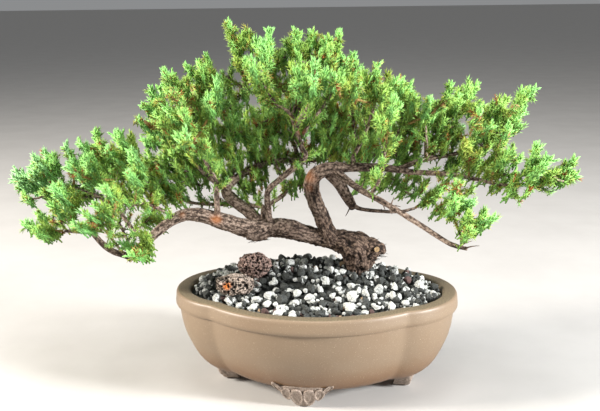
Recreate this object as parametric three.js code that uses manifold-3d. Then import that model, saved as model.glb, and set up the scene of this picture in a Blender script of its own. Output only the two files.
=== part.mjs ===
// A juniper bonsai in a four-lobed clay pot on cloud-shaped feet, in millimetres, +Z up.
// The pot's long axis is X and the tree's front faces -Y. Every place below is measured from the middle of
// the pot, at the height of the surface it stands on. At the end the whole plant is moved so that the origin
// is the middle of the underside of its bounding box.
import * as THREE from "three";
import { mergeVertices } from "three/addons/utils/BufferGeometryUtils.js";
import Module from "manifold-3d";

const wasm = await Module();
wasm.setup();

const GAP = 0.3; // between pieces that rest on each other
const WALL_GAP = 0.45; // between the gravel and the pot's sloping wall
const WOOD_GAP = 0.36; // between the gravel and the wood that stands in it

// ---- Pot: four arcs meet in four creases, and the wall is an inset of that outline at each height ----
const POT_HALF_LENGTH = 110;
const POT_HALF_DEPTH = 78.3;
const FRONT_ARC_RADIUS = 110.7;
const END_ARC_RADIUS = 53.4;
const FRONT_ARC_STEPS = 8;
const END_ARC_STEPS = 7;
const RIM_HEIGHT = 78;
const BASE_HEIGHT = 12.2;
const FLOOR_HEIGHT = 17.5;
// [inset from the rim's outline, height]: base, bowl, step under the collar, collar, rounded edge.
const OUTER_WALL = [
  [34, BASE_HEIGHT],
  [28, 14],
  [21.6, 18.4],
  [15.4, 25.6],
  [11, 33.6],
  [7.3, 42],
  [4.7, 50.5],
  [2.5, 65],
  [0.9, 66.4],
  [0, 68],
  [0, 76.6],
  [1.4, RIM_HEIGHT],
];
// The flat lip, its soft inner edge, and the inside of the bowl down to the floor.
const INNER_WALL = [
  [10.2, RIM_HEIGHT],
  [11.4, 76.6],
  [12, 58],
  [22.5, 25],
  [33, FLOOR_HEIGHT],
];
const DRAIN_X = 36;
const DRAIN_RADIUS = 11;
const DRAIN_SIDES = 12;

// ---- Feet: a scalloped cloud outline, half of it, from the flat sole up to the wing ----
const FOOT_HALF_OUTLINE = [
  [4, 0],
  [6.4, 2],
  [7.8, 5],
  [8.7, 7.8],
  [10.6, 6.3],
  [13, 6.9],
  [15.2, 10],
  [19, 14.2],
  [22.4, 17.2],
];
const FOOT_THICKNESS = 12;
// Where the sole's outer edge is, how far the foot leans out for each millimetre up, its bend radius,
// and how far along the pot it sits off the middle.
const FRONT_FOOT = { reach: 49.5, lean: 0.47, bend: 80, offset: -3.5 };
const END_FOOT = { reach: 73, lean: 0.4, bend: 48, offset: 0 };

// ---- Drainage screens: plastic mesh squares over the holes ----
const SCREEN_SIDE = 34;
const SCREEN_THICKNESS = 1.2;
const SCREEN_PITCH = 10.4;
const SCREEN_HOLE_REACH = 4;

// ---- Gravel: stones on a three-way lattice, heaped towards the tree ----
const STONE_PITCH = 11.8;
const STONE_RISE = 3.5; // the mean height of a stone's top over the heap's nominal surface
const STONE_RISE_SPREAD = 0.8; // as a share of that
const CREVICE_DEPTH = 2.6; // the deepest that the places between stones lie under it
const STONE_JITTER = 1.5;
const GRAVEL_EDGE_HEIGHT = 73.5;
const MOUND = { x: -2, y: 14, height: 18, spreadX: 84, spreadY: 46 };
const GRAVEL_SEED = 411;

// ---- Lava rocks: centre, half sizes, turn about Z in degrees, and a seed for their lumps ----
const LAVA_ROCKS = {
  lava_rock_rear: { centre: [-47.5, -4, 96.2], half: [15, 12, 10.6], turn: -12, seed: 7 },
  lava_rock_front: { centre: [-59, -25, 87], half: [15.2, 10.5, 8.5], turn: 8, seed: 19 },
};
const ROCK_DETAIL = 2;
const ROCK_ROUGHNESS = 0.13;
const ROCK_HOLLOW = [0.92, 1.2]; // radius at its foot and at the rock's middle, as shares of the rock's
const ROCK_HOLLOW_SIDES = 10;

// ---- Wood: each limb is a chain of [x, y, z, radius], and starts inside the limb it grows from ----
const LIMBS = {
  stump: [
    [29, 9, 56, 6.5],
    [30, 9, 68, 7.2],
    [32, 9, 80, 8],
    [34, 8.5, 92, 10.2],
    [35, 8, 101, 13],
    [32, 8, 108.5, 12.2],
    [21, 8, 113, 9],
    [8, 7, 115.5, 6.8],
    [-6, 5, 119, 6.7],
    [-20, 3, 123.5, 7.7],
    [-33, 1, 125, 7.2],
    [-47, -4, 124.5, 7.2],
    [-60, -8, 128.5, 6.6],
    [-74, -12, 134.5, 6.2],
    [-87, -15, 139, 5.7],
    [-99, -17, 139, 5],
    [-111, -19, 132, 4.2],
    [-123, -22, 122, 3.6],
    [-133, -24, 113, 3.2],
    [-142, -26, 105, 3.6],
  ],
  cut_stub: [
    [34, 8, 98, 10.5],
    [43, 7, 105, 9.5],
    [51, 6, 108, 7],
  ],
  knuckle: [
    [-38, -5, 123, 6.4],
    [-45, -9, 122.3, 5.6],
    [-51, -12, 122.5, 4],
  ],
  second_trunk: [
    [13, 7, 113, 7.8],
    [8, 5, 125, 6.4],
    [4, 3, 137, 5.9],
    [0, 1, 147, 5.8],
    [-2, 0, 157, 5.9],
    [0, -2, 166, 5.6],
    [8, -4, 172, 5],
    [17, -5, 174, 4.2],
    [27, -5, 174.5, 3.5],
    [50, -2, 174, 3],
    [66, 0, 172, 2.6],
  ],
  left_tip: [
    [-141, -26, 107, 2.8],
    [-151, -29, 111, 2.4],
    [-159, -32, 118, 2.3],
    [-166, -36, 128, 1.9],
    [-175, -38, 129, 1.6],
    [-185, -41, 130, 1.2],
  ],
  left_riser: [
    [-125, -22, 121, 2.1],
    [-134, -20, 123, 1.9],
    [-142, -18, 130, 1.7],
    [-155, -14, 150, 1.4],
    [-152, -11, 168, 1.1],
    [-146, -12, 180, 0.9],
  ],
  left_far: [
    [-152, -15, 144, 1.4],
    [-166, -12, 150, 1.3],
    [-182, -8, 155, 1.2],
    [-210, -6, 160, 0.9],
  ],
  left_far_rear: [
    [-168, -12, 150.5, 1.2],
    [-182, 2, 147, 1.1],
    [-210, 20, 141, 0.9],
  ],
  left_inner: [
    [-104, -18, 136, 1.6],
    [-113, -26, 144, 1.4],
    [-121, -36, 151, 1.2],
    [-127, -50, 153, 1],
  ],
  knuckle_twig: [
    [-143, -28, 108, 1.4],
    [-147, -36, 119, 1.1],
    [-150, -44, 130, 0.9],
  ],
  knuckle_rear: [
    [-138, -24, 110, 1.4],
    [-148, -10, 118, 1.2],
    [-160, 8, 126, 1],
    [-176, 24, 133, 0.9],
  ],
  upright: [
    [-73, -13, 137, 2.4],
    [-72, -18, 152, 2.1],
    [-71, -22, 164, 1.9],
    [-74, -29, 176, 1.6],
    [-79, -37, 192, 1.3],
    [-84, -42, 207, 1.1],
  ],
  middle_limb: [
    [-41, 1, 127, 5],
    [-50, 6, 134, 4.7],
    [-69, 14, 146, 4.7],
    [-72, 19, 152, 4],
    [-64, 25, 160, 3.1],
    [-47, 38, 168, 2.6],
    [-33, 45, 170, 2.3],
    [-18, 52, 169, 2],
    [-3, 60, 168, 1.6],
  ],
  middle_left: [
    [-72, 18, 151, 2.6],
    [-83, 22, 157, 2.2],
    [-94, 27, 164, 1.9],
    [-104, 28, 176, 1.6],
    [-110, 20, 190, 1.3],
    [-112, 8, 206, 1.1],
  ],
  left_high_rear: [
    [-94, 27, 164, 1.7],
    [-104, 36, 172, 1.4],
    [-118, 46, 178, 1.1],
  ],
  high_left: [
    [-102, 28, 174, 1.5],
    [-96, 20, 190, 1.4],
    [-92, 8, 206, 1.3],
    [-92, -8, 222, 1.1],
  ],
  rear_left: [
    [-41, 4, 141, 1.9],
    [-67, 22, 138, 1.7],
    [-104, 34, 136, 1.3],
    [-130, 32, 146, 1.1],
    [-150, 28, 152, 0.9],
  ],
  rear_left_bud: [
    [-41, 1, 129, 2.4],
    [-40, 4, 142, 1.9],
  ],
  crown_limb: [
    [-35, 0, 127, 2.8],
    [-35, -8, 149, 2.4],
    [-33, -11, 158, 2.3],
    [-20, -16, 170, 2.2],
    [-4, -24, 185, 2],
    [-6, -26, 193, 1.9],
    [-10, -27, 207, 1.7],
    [-14, -25, 217, 1.5],
    [-25, -21, 224, 1.4],
    [-56, -9, 237, 1.1],
    [-64, -8, 243, 1],
  ],
  leader: [
    [-49, -12, 234, 1.2],
    [-51, -12, 245, 1.1],
    [-54, -11, 258, 0.9],
  ],
  crown_top: [
    [-13, -26, 214, 1.4],
    [-9, -21, 226, 1.3],
    [-5, -18, 240, 1.1],
    [-2, -17, 254, 0.9],
  ],
  crown_right: [
    [-8, -26, 198, 1.6],
    [-1, -22, 208, 1.4],
    [8, -14, 220, 1.3],
    [15, -6, 232, 1.1],
  ],
  crown_front: [
    [-10, -27, 205, 1.4],
    [-5, -36, 215, 1.3],
    [3, -45, 226, 1.1],
  ],
  crown_left: [
    [-24, -21, 223.5, 1.3],
    [-29, -30, 232, 1.1],
    [-30, -38, 238, 0.9],
  ],
  loop_twig: [
    [-34, -6, 145, 1.9],
    [-24, 6, 151, 1.7],
    [-24, 12, 157, 1.6],
    [-30, 20, 166, 1.4],
    [-36, 26, 178, 1.1],
  ],
  rear_crown: [
    [-18, 52, 169, 1.9],
    [-22, 58, 178, 1.7],
    [-26, 62, 190, 1.5],
    [-24, 63, 206, 1.3],
    [-18, 62, 218, 1.1],
  ],
  rear_centre: [
    [-47, 38, 168, 2],
    [-54, 46, 176, 1.7],
    [-61, 54, 185, 1.3],
  ],
  rear_right: [
    [22, -5, 174, 2.6],
    [27, 14, 174.5, 2.2],
    [30, 32, 176, 1.9],
    [32, 50, 179, 1.6],
    [32, 66, 184, 1.3],
    [32, 76, 190, 1.1],
  ],
  rear_right_high: [
    [30, 34, 176, 1.6],
    [28, 40, 192, 1.4],
    [26, 43, 212, 1.1],
  ],
  fan_stem: [
    [28, -5, 174, 2],
    [31, -8, 184, 1.7],
    [36, -12, 194, 1.5],
    [42, -17, 208, 1.3],
    [47, -20, 224, 1],
  ],
  mid_top: [
    [49, -2, 174, 1.8],
    [55, 2, 184, 1.6],
    [62, -2, 198, 1.3],
    [66, -6, 212, 1],
  ],
  right_upper: [
    [64, 0, 172.5, 2.3],
    [75, 1, 177, 2],
    [85, 3, 180, 1.9],
    [107, 6, 184, 1.5],
    [122, 6, 192, 1.2],
    [136, 6, 204, 1],
    [146, 8, 215, 0.9],
  ],
  right_lower: [
    [64, 0, 172, 2.4],
    [77, -4, 171, 2.1],
    [99, -14, 172, 1.8],
    [120, -22, 170, 1.5],
    [141, -28, 167, 1.2],
    [154, -32, 169, 1],
    [166, -34, 172, 0.9],
  ],
  right_rear: [
    [85, 3, 180, 1.8],
    [92, 16, 186, 1.5],
    [99, 30, 195, 1.3],
    [107, 42, 205, 1.1],
  ],
  right_top: [
    [84, 3, 180, 1.6],
    [84, 0, 192, 1.4],
    [83, -4, 206, 1.1],
  ],
  sweeper: [
    [17, -6, 172, 2.8],
    [35, -18, 161, 2.4],
    [57, -30, 152, 2.1],
    [78, -42, 142, 1.9],
    [98, -54, 132, 1.7],
    [106, -58, 129.5, 1.6],
    [113, -60, 128.5, 1.4],
  ],
  sweeper_shoot: [
    [109, -59, 129, 1.3],
    [109, -60, 136, 1.1],
    [106, -59, 143, 0.9],
  ],
  cross_twig: [
    [44, -23, 157, 1.6],
    [50, -32, 168, 1.3],
    [54, -40, 182, 1.1],
    [56, -44, 198, 0.9],
  ],
  broken_elbow: [
    [12, -2, 169, 4.6],
    [19, 4, 160, 4.4],
    [24, 10, 149, 4.1],
    [29, 14, 139, 3],
  ],
  elbow_twig: [
    [27, 12, 144, 2.2],
    [35, 18, 137, 1.6],
    [62, 32, 132, 1.3],
    [76, 40, 133, 1.1],
  ],
};
// The bark of limbs thicker than this radius stands in three and in five ridges, as shares of the radius.
const BARK_RIDGES = { above: 4, three: 0.09, five: 0.06 };
const WOOD_SIDES = [
  { above: 7, sides: 9 },
  { above: 4, sides: 7 },
  { above: 2.5, sides: 5 },
  { above: 0, sides: 4 },
];

// ---- Foliage: the heart of each spray as [x, y, z], then the number of leafy shoots that fork from it ----
const SPRAYS = [
  [-221, -5, 161, 4],
  [-200, -24, 170, 4],
  [-219, 18, 143, 3],
  [-196, -46, 131, 3],
  [-174, -56, 152, 3],
  [-186, -8, 171, 3],
  [-163, -40, 170, 3],
  [-162, -18, 183, 3],
  [-136, -30, 188, 3],
  [-166, 24, 162, 2],
  [-118, -56, 178, 3],
  [-196, 36, 138, 2],
  [-134, -68, 156, 2],
  [-122, -44, 114, 2],
  [-154, -54, 138, 2],
  [-117, 3, 217, 4],
  [-97, -24, 232, 3],
  [-79, -12, 240, 4],
  [-86, -52, 221, 3],
  [-64, -44, 226, 3],
  [-112, -18, 204, 3],
  [-76, -62, 197, 2],
  [-136, 54, 184, 2],
  [-100, 44, 214, 2],
  [-56, -10, 263, 4],
  [-29, -22, 257, 3],
  [-32, -46, 244, 3],
  [-6, -18, 259, 4],
  [12, -9, 256, 3],
  [24, 4, 242, 3],
  [6, -54, 239, 4],
  [24, -46, 232, 3],
  [25, 46, 230, 3],
  [-15, 62, 231, 3],
  [-46, 74, 211, 2],
  [-70, 60, 198, 2],
  [49, -24, 235, 4],
  [67, -9, 222, 3],
  [57, -50, 214, 3],
  [32, 88, 202, 3],
  [4, 74, 182, 2],
  [84, -8, 217, 3],
  [97, 20, 217, 3],
  [115, 52, 217, 3],
  [114, -36, 205, 2],
  [138, -4, 209, 3],
  [150, 10, 218, 4],
  [133, -34, 194, 2],
  [154, -40, 182, 3],
  [171, -34, 175, 4],
  [88, 47, 141, 2],
  [101, -60, 158, 2],
  [116, -65, 142, 3],
];
const CANOPY_HEART = new THREE.Vector3(-15, 0, 130); // shoots lean away from here
const OUTWARD_PULL = 0.75;
const UPWARD_PULL = 0.45;
const THICKEST_BEARER = 4.2; // sprays grow from wood no thicker than this
const THICKER_BY = 1.3; // a spray can't root where wood this many times as thick covers its bearer
const ROOT_STEP = 0.25; // share of a piece of wood between two places that may bear a spray
const ROOT_SPACING = 6;
const STEEPEST_ALONG = 0.8; // a stem off a twig's side leaves it at more than about 37 degrees
const STEM_RADIUS = 1.2;
const SEAT_GAP = 0.5; // from the foot's middle and corners to the bark; a ridge between them comes nearer
const SEAT_REACH = 12; // a stem's foot is measured against the bark this near its root
const SEAT_CORNERS = 8;
const SEAT_STEPS = 16;
const SHOOT_CORE_RADIUS = 0.85;
const SHOOT_LENGTH = 21;
const SHOOT_LENGTH_SPREAD = 3;
const WHORLS = 3;
const SHOOT_SIDES = 4; // each whorl has two needles and two valleys, and the next one is turned a quarter
const BARE_FOOT = 4.5; // of each shoot, below its first needles
const NEEDLE_REACH = 3.3;
const NEEDLE_SWEEP = 4.6; // how far a needle's tip points forward of its foot
const FORK_ANGLE = [38, 66]; // degrees off the stem
const FORK_FROM = 0.4; // share of the stem that bears no shoots
const FORK_LIFT = 0.2;
const FORK_FOOT_RADIUS = 0.75;
const GOLDEN_ANGLE = 137.5; // degrees round the stem from one shoot to the next
const TURN_SPREAD = 60; // degrees of chance in that
const TURN_PER_TRY = 51; // degrees further round for each new try
const SHIFT_PER_TRY = 0.6; // millimetres that each new try may move a spray's heart
const MOST_TRIES = 40;
const SHOOT_CLEARANCE = 0.5;
const FOLIAGE_SEED = 2026;

const UP = new THREE.Vector3(0, 0, 1);

// ---- Shared helpers ----

/** A repeatable stream of numbers from 0 to 1. */
function seededRandom(seed) {
  let state = seed;
  return () => {
    state = (state * 16807) % 2147483647;
    return state / 2147483647;
  };
}

function solidFromFaces(points, faces) {
  const mesh = new wasm.Mesh({
    numProp: 3,
    vertProperties: new Float32Array(points.flatMap((p) => [p.x, p.y, p.z])),
    triVerts: new Uint32Array(faces.flat()),
  });
  return new wasm.Manifold(mesh);
}

function solidFromGeometry(geometry) {
  const bare = geometry.clone();
  bare.deleteAttribute("normal");
  bare.deleteAttribute("uv");
  const merged = mergeVertices(bare, 1e-4);
  const mesh = new wasm.Mesh({
    numProp: 3,
    vertProperties: merged.attributes.position.array,
    triVerts: new Uint32Array(merged.index.array),
  });
  return new wasm.Manifold(mesh);
}

function geometryFromSolid(solid) {
  const mesh = solid.getMesh();
  const geometry = new THREE.BufferGeometry();
  geometry.setAttribute("position", new THREE.BufferAttribute(mesh.vertProperties, mesh.numProp));
  geometry.setIndex(new THREE.BufferAttribute(mesh.triVerts, 1));
  const faceted = geometry.toNonIndexed();
  faceted.computeVertexNormals();
  return faceted;
}

function trianglesOf(solid) {
  const position = geometryFromSolid(solid).attributes.position;
  return Array.from({ length: position.count / 3 }, (_, index) =>
    new THREE.Triangle().setFromAttributeAndIndices(position, 3 * index, 3 * index + 1, 3 * index + 2),
  );
}

const unite = (solids) => solids.reduce((joined, solid) => joined.add(solid));

/**
 * A closed solid through rings of equally many points. Each ring turns counter-clockwise about the way the
 * rings advance. The first end is flat, and the last one is too, unless it closes on a tip.
 */
function loft(rings, tip = null) {
  const sides = rings[0].length;
  const points = rings.flat();
  const lastRing = points.length - sides;
  const faces = [];
  for (let ring = 0; ring < rings.length - 1; ring++) {
    for (let side = 0; side < sides; side++) {
      const next = (side + 1) % sides;
      const a = ring * sides + side;
      const b = ring * sides + next;
      const c = b + sides;
      const d = a + sides;
      // The diagonals alternate, so that a needle's foot lies between four valleys.
      if ((ring + side) % 2 === 0) faces.push([a, b, d], [b, c, d]);
      else faces.push([a, b, c], [a, c, d]);
    }
  }
  for (let side = 1; side < sides - 1; side++) faces.push([0, side + 1, side]);
  if (tip) {
    points.push(tip);
    for (let side = 0; side < sides; side++) {
      faces.push([points.length - 1, lastRing + side, lastRing + ((side + 1) % sides)]);
    }
  } else {
    for (let side = 1; side < sides - 1; side++) {
      faces.push([lastRing, lastRing + side, lastRing + side + 1]);
    }
  }
  return solidFromFaces(points, faces);
}

// ---- Pot ----

/** The pot's outline, set in by a distance, as points counter-clockwise from the front left crease. */
function lobedOutline(inset, height) {
  const frontRadius = FRONT_ARC_RADIUS - inset;
  const endRadius = END_ARC_RADIUS - inset;
  const frontCentre = new THREE.Vector2(0, FRONT_ARC_RADIUS - POT_HALF_DEPTH);
  const endCentre = new THREE.Vector2(POT_HALF_LENGTH - END_ARC_RADIUS, 0);
  // The front right crease is where the two circles cross.
  const between = endCentre.clone().sub(frontCentre);
  const apart = between.length();
  const along = (frontRadius ** 2 - endRadius ** 2 + apart ** 2) / (2 * apart);
  const across = Math.sqrt(frontRadius ** 2 - along ** 2);
  const unit = between.divideScalar(apart);
  const crease = new THREE.Vector2(
    frontCentre.x + unit.x * along + unit.y * across,
    frontCentre.y + unit.y * along - unit.x * across,
  );
  const frontSweep = Math.asin(crease.x / frontRadius);
  const endSweep = Math.atan2(-crease.y, crease.x - endCentre.x);
  const points = [];
  const addArc = (centreX, centreY, radius, middle, sweep, steps) => {
    for (let step = 0; step < steps; step++) {
      const angle = middle - sweep + (2 * sweep * step) / steps;
      const x = centreX + radius * Math.cos(angle);
      const y = centreY + radius * Math.sin(angle);
      points.push(new THREE.Vector3(x, y, height));
    }
  };
  addArc(0, frontCentre.y, frontRadius, -Math.PI / 2, frontSweep, FRONT_ARC_STEPS);
  addArc(endCentre.x, 0, endRadius, 0, endSweep, END_ARC_STEPS);
  addArc(0, -frontCentre.y, frontRadius, Math.PI / 2, frontSweep, FRONT_ARC_STEPS);
  addArc(-endCentre.x, 0, endRadius, Math.PI, endSweep, END_ARC_STEPS);
  return points;
}

/** One cloud foot: its face looks along -Y, and its sole is at height 0. */
function makeFoot({ reach, lean, bend, offset }) {
  const mirrored = FOOT_HALF_OUTLINE.map(([x, z]) => [-x, z]).reverse();
  const outline = [...mirrored, ...FOOT_HALF_OUTLINE].map(([x, z]) => new THREE.Vector2(x, z));
  const geometry = new THREE.ExtrudeGeometry(new THREE.Shape(outline), {
    depth: FOOT_THICKNESS,
    bevelEnabled: false,
  });
  geometry.rotateX(Math.PI / 2);
  const position = geometry.attributes.position;
  for (let i = 0; i < position.count; i++) {
    const x = position.getX(i);
    const y = position.getY(i) + FOOT_THICKNESS - reach;
    position.setXY(i, x + offset, y - lean * position.getZ(i) + x ** 2 / (2 * bend));
  }
  return geometry;
}

function makeFeet() {
  const frontFoot = makeFoot(FRONT_FOOT);
  const endFoot = makeFoot(END_FOOT);
  return [
    frontFoot,
    frontFoot.clone().rotateZ(Math.PI),
    endFoot.clone().rotateZ(Math.PI / 2),
    endFoot.clone().rotateZ(-Math.PI / 2),
  ].map(solidFromGeometry);
}

function makePot() {
  const rings = [...OUTER_WALL, ...INNER_WALL].map(([inset, height]) => lobedOutline(inset, height));
  const drains = [-DRAIN_X, DRAIN_X].map((x) => {
    const drain = new THREE.CylinderGeometry(DRAIN_RADIUS, DRAIN_RADIUS, RIM_HEIGHT / 2, DRAIN_SIDES);
    return solidFromGeometry(drain.rotateX(Math.PI / 2).translate(x, 0, BASE_HEIGHT));
  });
  return unite([loft(rings), ...makeFeet()]).subtract(unite(drains));
}

// ---- Drainage screens ----

/** Four corners at a reach from a middle, the first one at an angle from +X. */
function fourCorners(middleX, middleY, reach, firstAngle) {
  return Array.from({ length: 4 }, (_, corner) => {
    const angle = firstAngle + (corner * Math.PI) / 2;
    return new THREE.Vector2(middleX + reach * Math.cos(angle), middleY + reach * Math.sin(angle));
  });
}

/** A square of netting with diamond-shaped holes. */
function makeScreen(x) {
  const shape = new THREE.Shape(fourCorners(0, 0, SCREEN_SIDE / Math.SQRT2, Math.PI / 4));
  for (let column = -1; column <= 1; column++) {
    for (let row = -1; row <= 1; row++) {
      const diamond = fourCorners(column * SCREEN_PITCH, row * SCREEN_PITCH, SCREEN_HOLE_REACH, 0);
      shape.holes.push(new THREE.Path(diamond));
    }
  }
  const geometry = new THREE.ExtrudeGeometry(shape, { depth: SCREEN_THICKNESS, bevelEnabled: false });
  return solidFromGeometry(geometry.translate(x, 0, FLOOR_HEIGHT + GAP));
}

function makeScreenPockets() {
  const side = SCREEN_SIDE + 2 * GAP;
  const height = 2 * (SCREEN_THICKNESS + 2 * GAP);
  return [-DRAIN_X, DRAIN_X].map((x) =>
    solidFromGeometry(new THREE.BoxGeometry(side, side, height).translate(x, 0, FLOOR_HEIGHT)),
  );
}

// ---- Wood ----

/** How far a thick limb's bark stands out at an angle, as a share of its radius. The ridges wind along it. */
function barkRidge(angle, ring) {
  const three = BARK_RIDGES.three * Math.sin(3 * angle + ring);
  const five = BARK_RIDGES.five * Math.sin(5 * angle - 2 * ring);
  return three + five;
}

/** One limb: rings square to a smooth curve through its points, grown outwards by a margin. */
function makeLimb(points, margin) {
  const curve = new THREE.CatmullRomCurve3(points.map(([x, y, z]) => new THREE.Vector3(x, y, z)));
  const thickest = Math.max(...points.map((point) => point[3]));
  const sides = WOOD_SIDES.find(({ above }) => thickest > above).sides;
  const last = points.length - 1;
  let across = new THREE.Vector3(0, 1, 0);
  const rings = points.map((point, index) => {
    const radius = point[3];
    const centre = curve.getPoint(index / last);
    const ahead = curve.getTangent(index / last);
    across = across.clone().addScaledVector(ahead, -across.dot(ahead)).normalize();
    const side = new THREE.Vector3().crossVectors(ahead, across);
    if (index === 0) centre.addScaledVector(ahead, -margin);
    if (index === last) centre.addScaledVector(ahead, margin);
    return Array.from({ length: sides }, (_, corner) => {
      const angle = (2 * Math.PI * corner) / sides;
      const ridge = radius > BARK_RIDGES.above ? barkRidge(angle, index) : 0;
      const reach = radius * (1 + ridge) + margin;
      return centre
        .clone()
        .addScaledVector(across, reach * Math.cos(angle))
        .addScaledVector(side, reach * Math.sin(angle));
    });
  });
  return loft(rings);
}

function makeWood(margin) {
  return unite(Object.values(LIMBS).map((points) => makeLimb(points, margin)));
}

// ---- Lava rocks ----

/** A pitted, lumpy stone that fills its half sizes. */
function makeLavaRock({ centre, half, turn, seed }) {
  const geometry = new THREE.IcosahedronGeometry(1, ROCK_DETAIL);
  const position = geometry.attributes.position;
  const direction = new THREE.Vector3();
  for (let i = 0; i < position.count; i++) {
    direction.fromBufferAttribute(position, i).normalize();
    const lumps =
      Math.sin(5 * direction.x + seed) * Math.sin(4 * direction.y - seed) +
      Math.sin(9 * direction.z + 2 * seed) * Math.sin(8 * direction.x + 3 * seed);
    direction.multiplyScalar(1 + ROCK_ROUGHNESS * lumps);
    position.setXYZ(i, direction.x, direction.y, direction.z);
  }
  geometry.center();
  const reach = geometry.boundingBox.max;
  geometry.scale(half[0] / reach.x, half[1] / reach.y, half[2] / reach.z);
  geometry.rotateZ(THREE.MathUtils.degToRad(turn)).translate(...centre);
  return solidFromGeometry(geometry);
}

/** The dish that a lava rock has pressed into the gravel. */
function makeRockHollow({ centre, half }) {
  const [foot, mouth] = ROCK_HOLLOW;
  const depth = half[2] + GAP;
  const hollow = new THREE.CylinderGeometry(mouth, foot, 1, ROCK_HOLLOW_SIDES).rotateX(Math.PI / 2);
  hollow.scale(half[0], half[1], depth).translate(centre[0], centre[1], centre[2] - depth / 2);
  return solidFromGeometry(hollow);
}

// ---- Gravel ----

/** The heap is nearly level on top and falls off evenly towards the rim. */
function gravelHeight(x, y) {
  const reach = Math.hypot((x - MOUND.x) / MOUND.spreadX, (y - MOUND.y) / MOUND.spreadY);
  return GRAVEL_EDGE_HEIGHT + MOUND.height * Math.exp(-(reach ** 3));
}

/** A slab whose top is a lattice of stones: one point in three is a stone's top, the others lie between. */
function makeStoneBed() {
  const random = seededRandom(GRAVEL_SEED);
  const spacing = STONE_PITCH / Math.sqrt(3);
  const rowStep = STONE_PITCH / 2;
  const columns = Math.ceil(POT_HALF_LENGTH / spacing);
  const rows = Math.ceil(POT_HALF_DEPTH / rowStep);
  const width = 2 * columns + 1;
  const depth = 2 * rows + 1;
  const points = [];
  for (let row = -rows; row <= rows; row++) {
    for (let column = -columns; column <= columns; column++) {
      const shift = Math.abs(row) % 2 === 1 ? 0.5 : 0;
      const isStone = (((column - Math.floor(row / 2) - row) % 3) + 3) % 3 === 0;
      const wobble = isStone ? STONE_JITTER : STONE_JITTER / 2;
      const x = (column + shift) * spacing + wobble * (random() - 0.5);
      const y = row * rowStep + wobble * (random() - 0.5);
      const spread = STONE_RISE_SPREAD * (random() - 0.5);
      const rise = isStone ? STONE_RISE * (1 + spread) : -CREVICE_DEPTH * random();
      points.push(new THREE.Vector3(x, y, gravelHeight(x, y) + rise));
    }
  }
  const faces = [];
  for (let row = 0; row < depth - 1; row++) {
    const isShifted = Math.abs(row - rows) % 2 === 1;
    for (let column = 0; column < width - 1; column++) {
      const a = row * width + column;
      const b = a + 1;
      const c = b + width;
      const d = a + width;
      if (isShifted) faces.push([a, b, c], [a, c, d]);
      else faces.push([a, b, d], [b, c, d]);
    }
  }
  // The edge of the sheet goes straight down to a flat underside.
  const edge = [];
  for (let column = 0; column < width - 1; column++) edge.push(column);
  for (let row = 0; row < depth - 1; row++) edge.push(row * width + width - 1);
  for (let column = width - 1; column > 0; column--) edge.push((depth - 1) * width + column);
  for (let row = depth - 1; row > 0; row--) edge.push(row * width);
  const firstLow = points.length;
  edge.forEach((index) => points.push(points[index].clone().setZ(0)));
  const middle = points.length;
  points.push(new THREE.Vector3(0, 0, 0));
  edge.forEach((index, i) => {
    const next = (i + 1) % edge.length;
    faces.push([index, firstLow + i, firstLow + next], [index, firstLow + next, edge[next]]);
    faces.push([middle, firstLow + next, firstLow + i]);
  });
  return solidFromFaces(points, faces);
}

/** The gravel fills the bowl, less plain hollows for the root, the screens and the two rocks. */
function makeGravel() {
  const bowl = INNER_WALL.slice(2)
    .reverse()
    .map(([inset, height]) => lobedOutline(inset + WALL_GAP, height + GAP));
  const brim = lobedOutline(INNER_WALL[2][0] + WALL_GAP, 2 * RIM_HEIGHT);
  const hollows = Object.values(LAVA_ROCKS).map(makeRockHollow);
  return makeStoneBed()
    .intersect(loft([...bowl, brim]))
    .subtract(unite([makeWood(WOOD_GAP), ...hollows, ...makeScreenPockets()]));
}

// ---- Foliage ----

/** The shortest distance between two straight pieces of stem. */
function distanceBetween(one, other) {
  const d1 = one.to.clone().sub(one.from);
  const d2 = other.to.clone().sub(other.from);
  const r = one.from.clone().sub(other.from);
  const a = d1.dot(d1);
  const e = d2.dot(d2);
  const b = d1.dot(d2);
  const c = d1.dot(r);
  const f = d2.dot(r);
  const denominator = a * e - b * b;
  const clamp = (value) => Math.min(1, Math.max(0, value));
  let s = denominator > 1e-9 ? clamp((b * f - c * e) / denominator) : 0;
  const t = clamp((b * s + f) / e);
  s = clamp((b * t - c) / a);
  const p1 = one.from.clone().addScaledVector(d1, s);
  const p2 = other.from.clone().addScaledVector(d2, t);
  return p1.distanceTo(p2);
}

function isClear(piece, others) {
  return others.every((other) => {
    const apart = distanceBetween(piece, other) - piece.radius - other.radius;
    return apart > SHOOT_CLEARANCE;
  });
}

/** Every straight piece of wood, with its radius. */
const WOOD_PIECES = Object.values(LIMBS).flatMap((points) =>
  points.slice(1).map((point, index) => ({
    from: new THREE.Vector3(...points[index].slice(0, 3)),
    to: new THREE.Vector3(...point.slice(0, 3)),
    radius: Math.max(point[3], points[index][3]),
    isTwigEnd: index === points.length - 2,
  })),
);

/** How much a way from the wood runs along it, from 0 to 1. */
function alongWood(piece, way) {
  const grain = piece.to.clone().sub(piece.from).normalize();
  return Math.abs(way.dot(grain));
}

function isInsideThickerWood(point, piece) {
  const nearest = new THREE.Vector3();
  return WOOD_PIECES.some((other) => {
    if (other.radius < THICKER_BY * piece.radius) return false;
    new THREE.Line3(other.from, other.to).closestPointToPoint(point, true, nearest);
    return nearest.distanceTo(point) < other.radius;
  });
}

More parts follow.
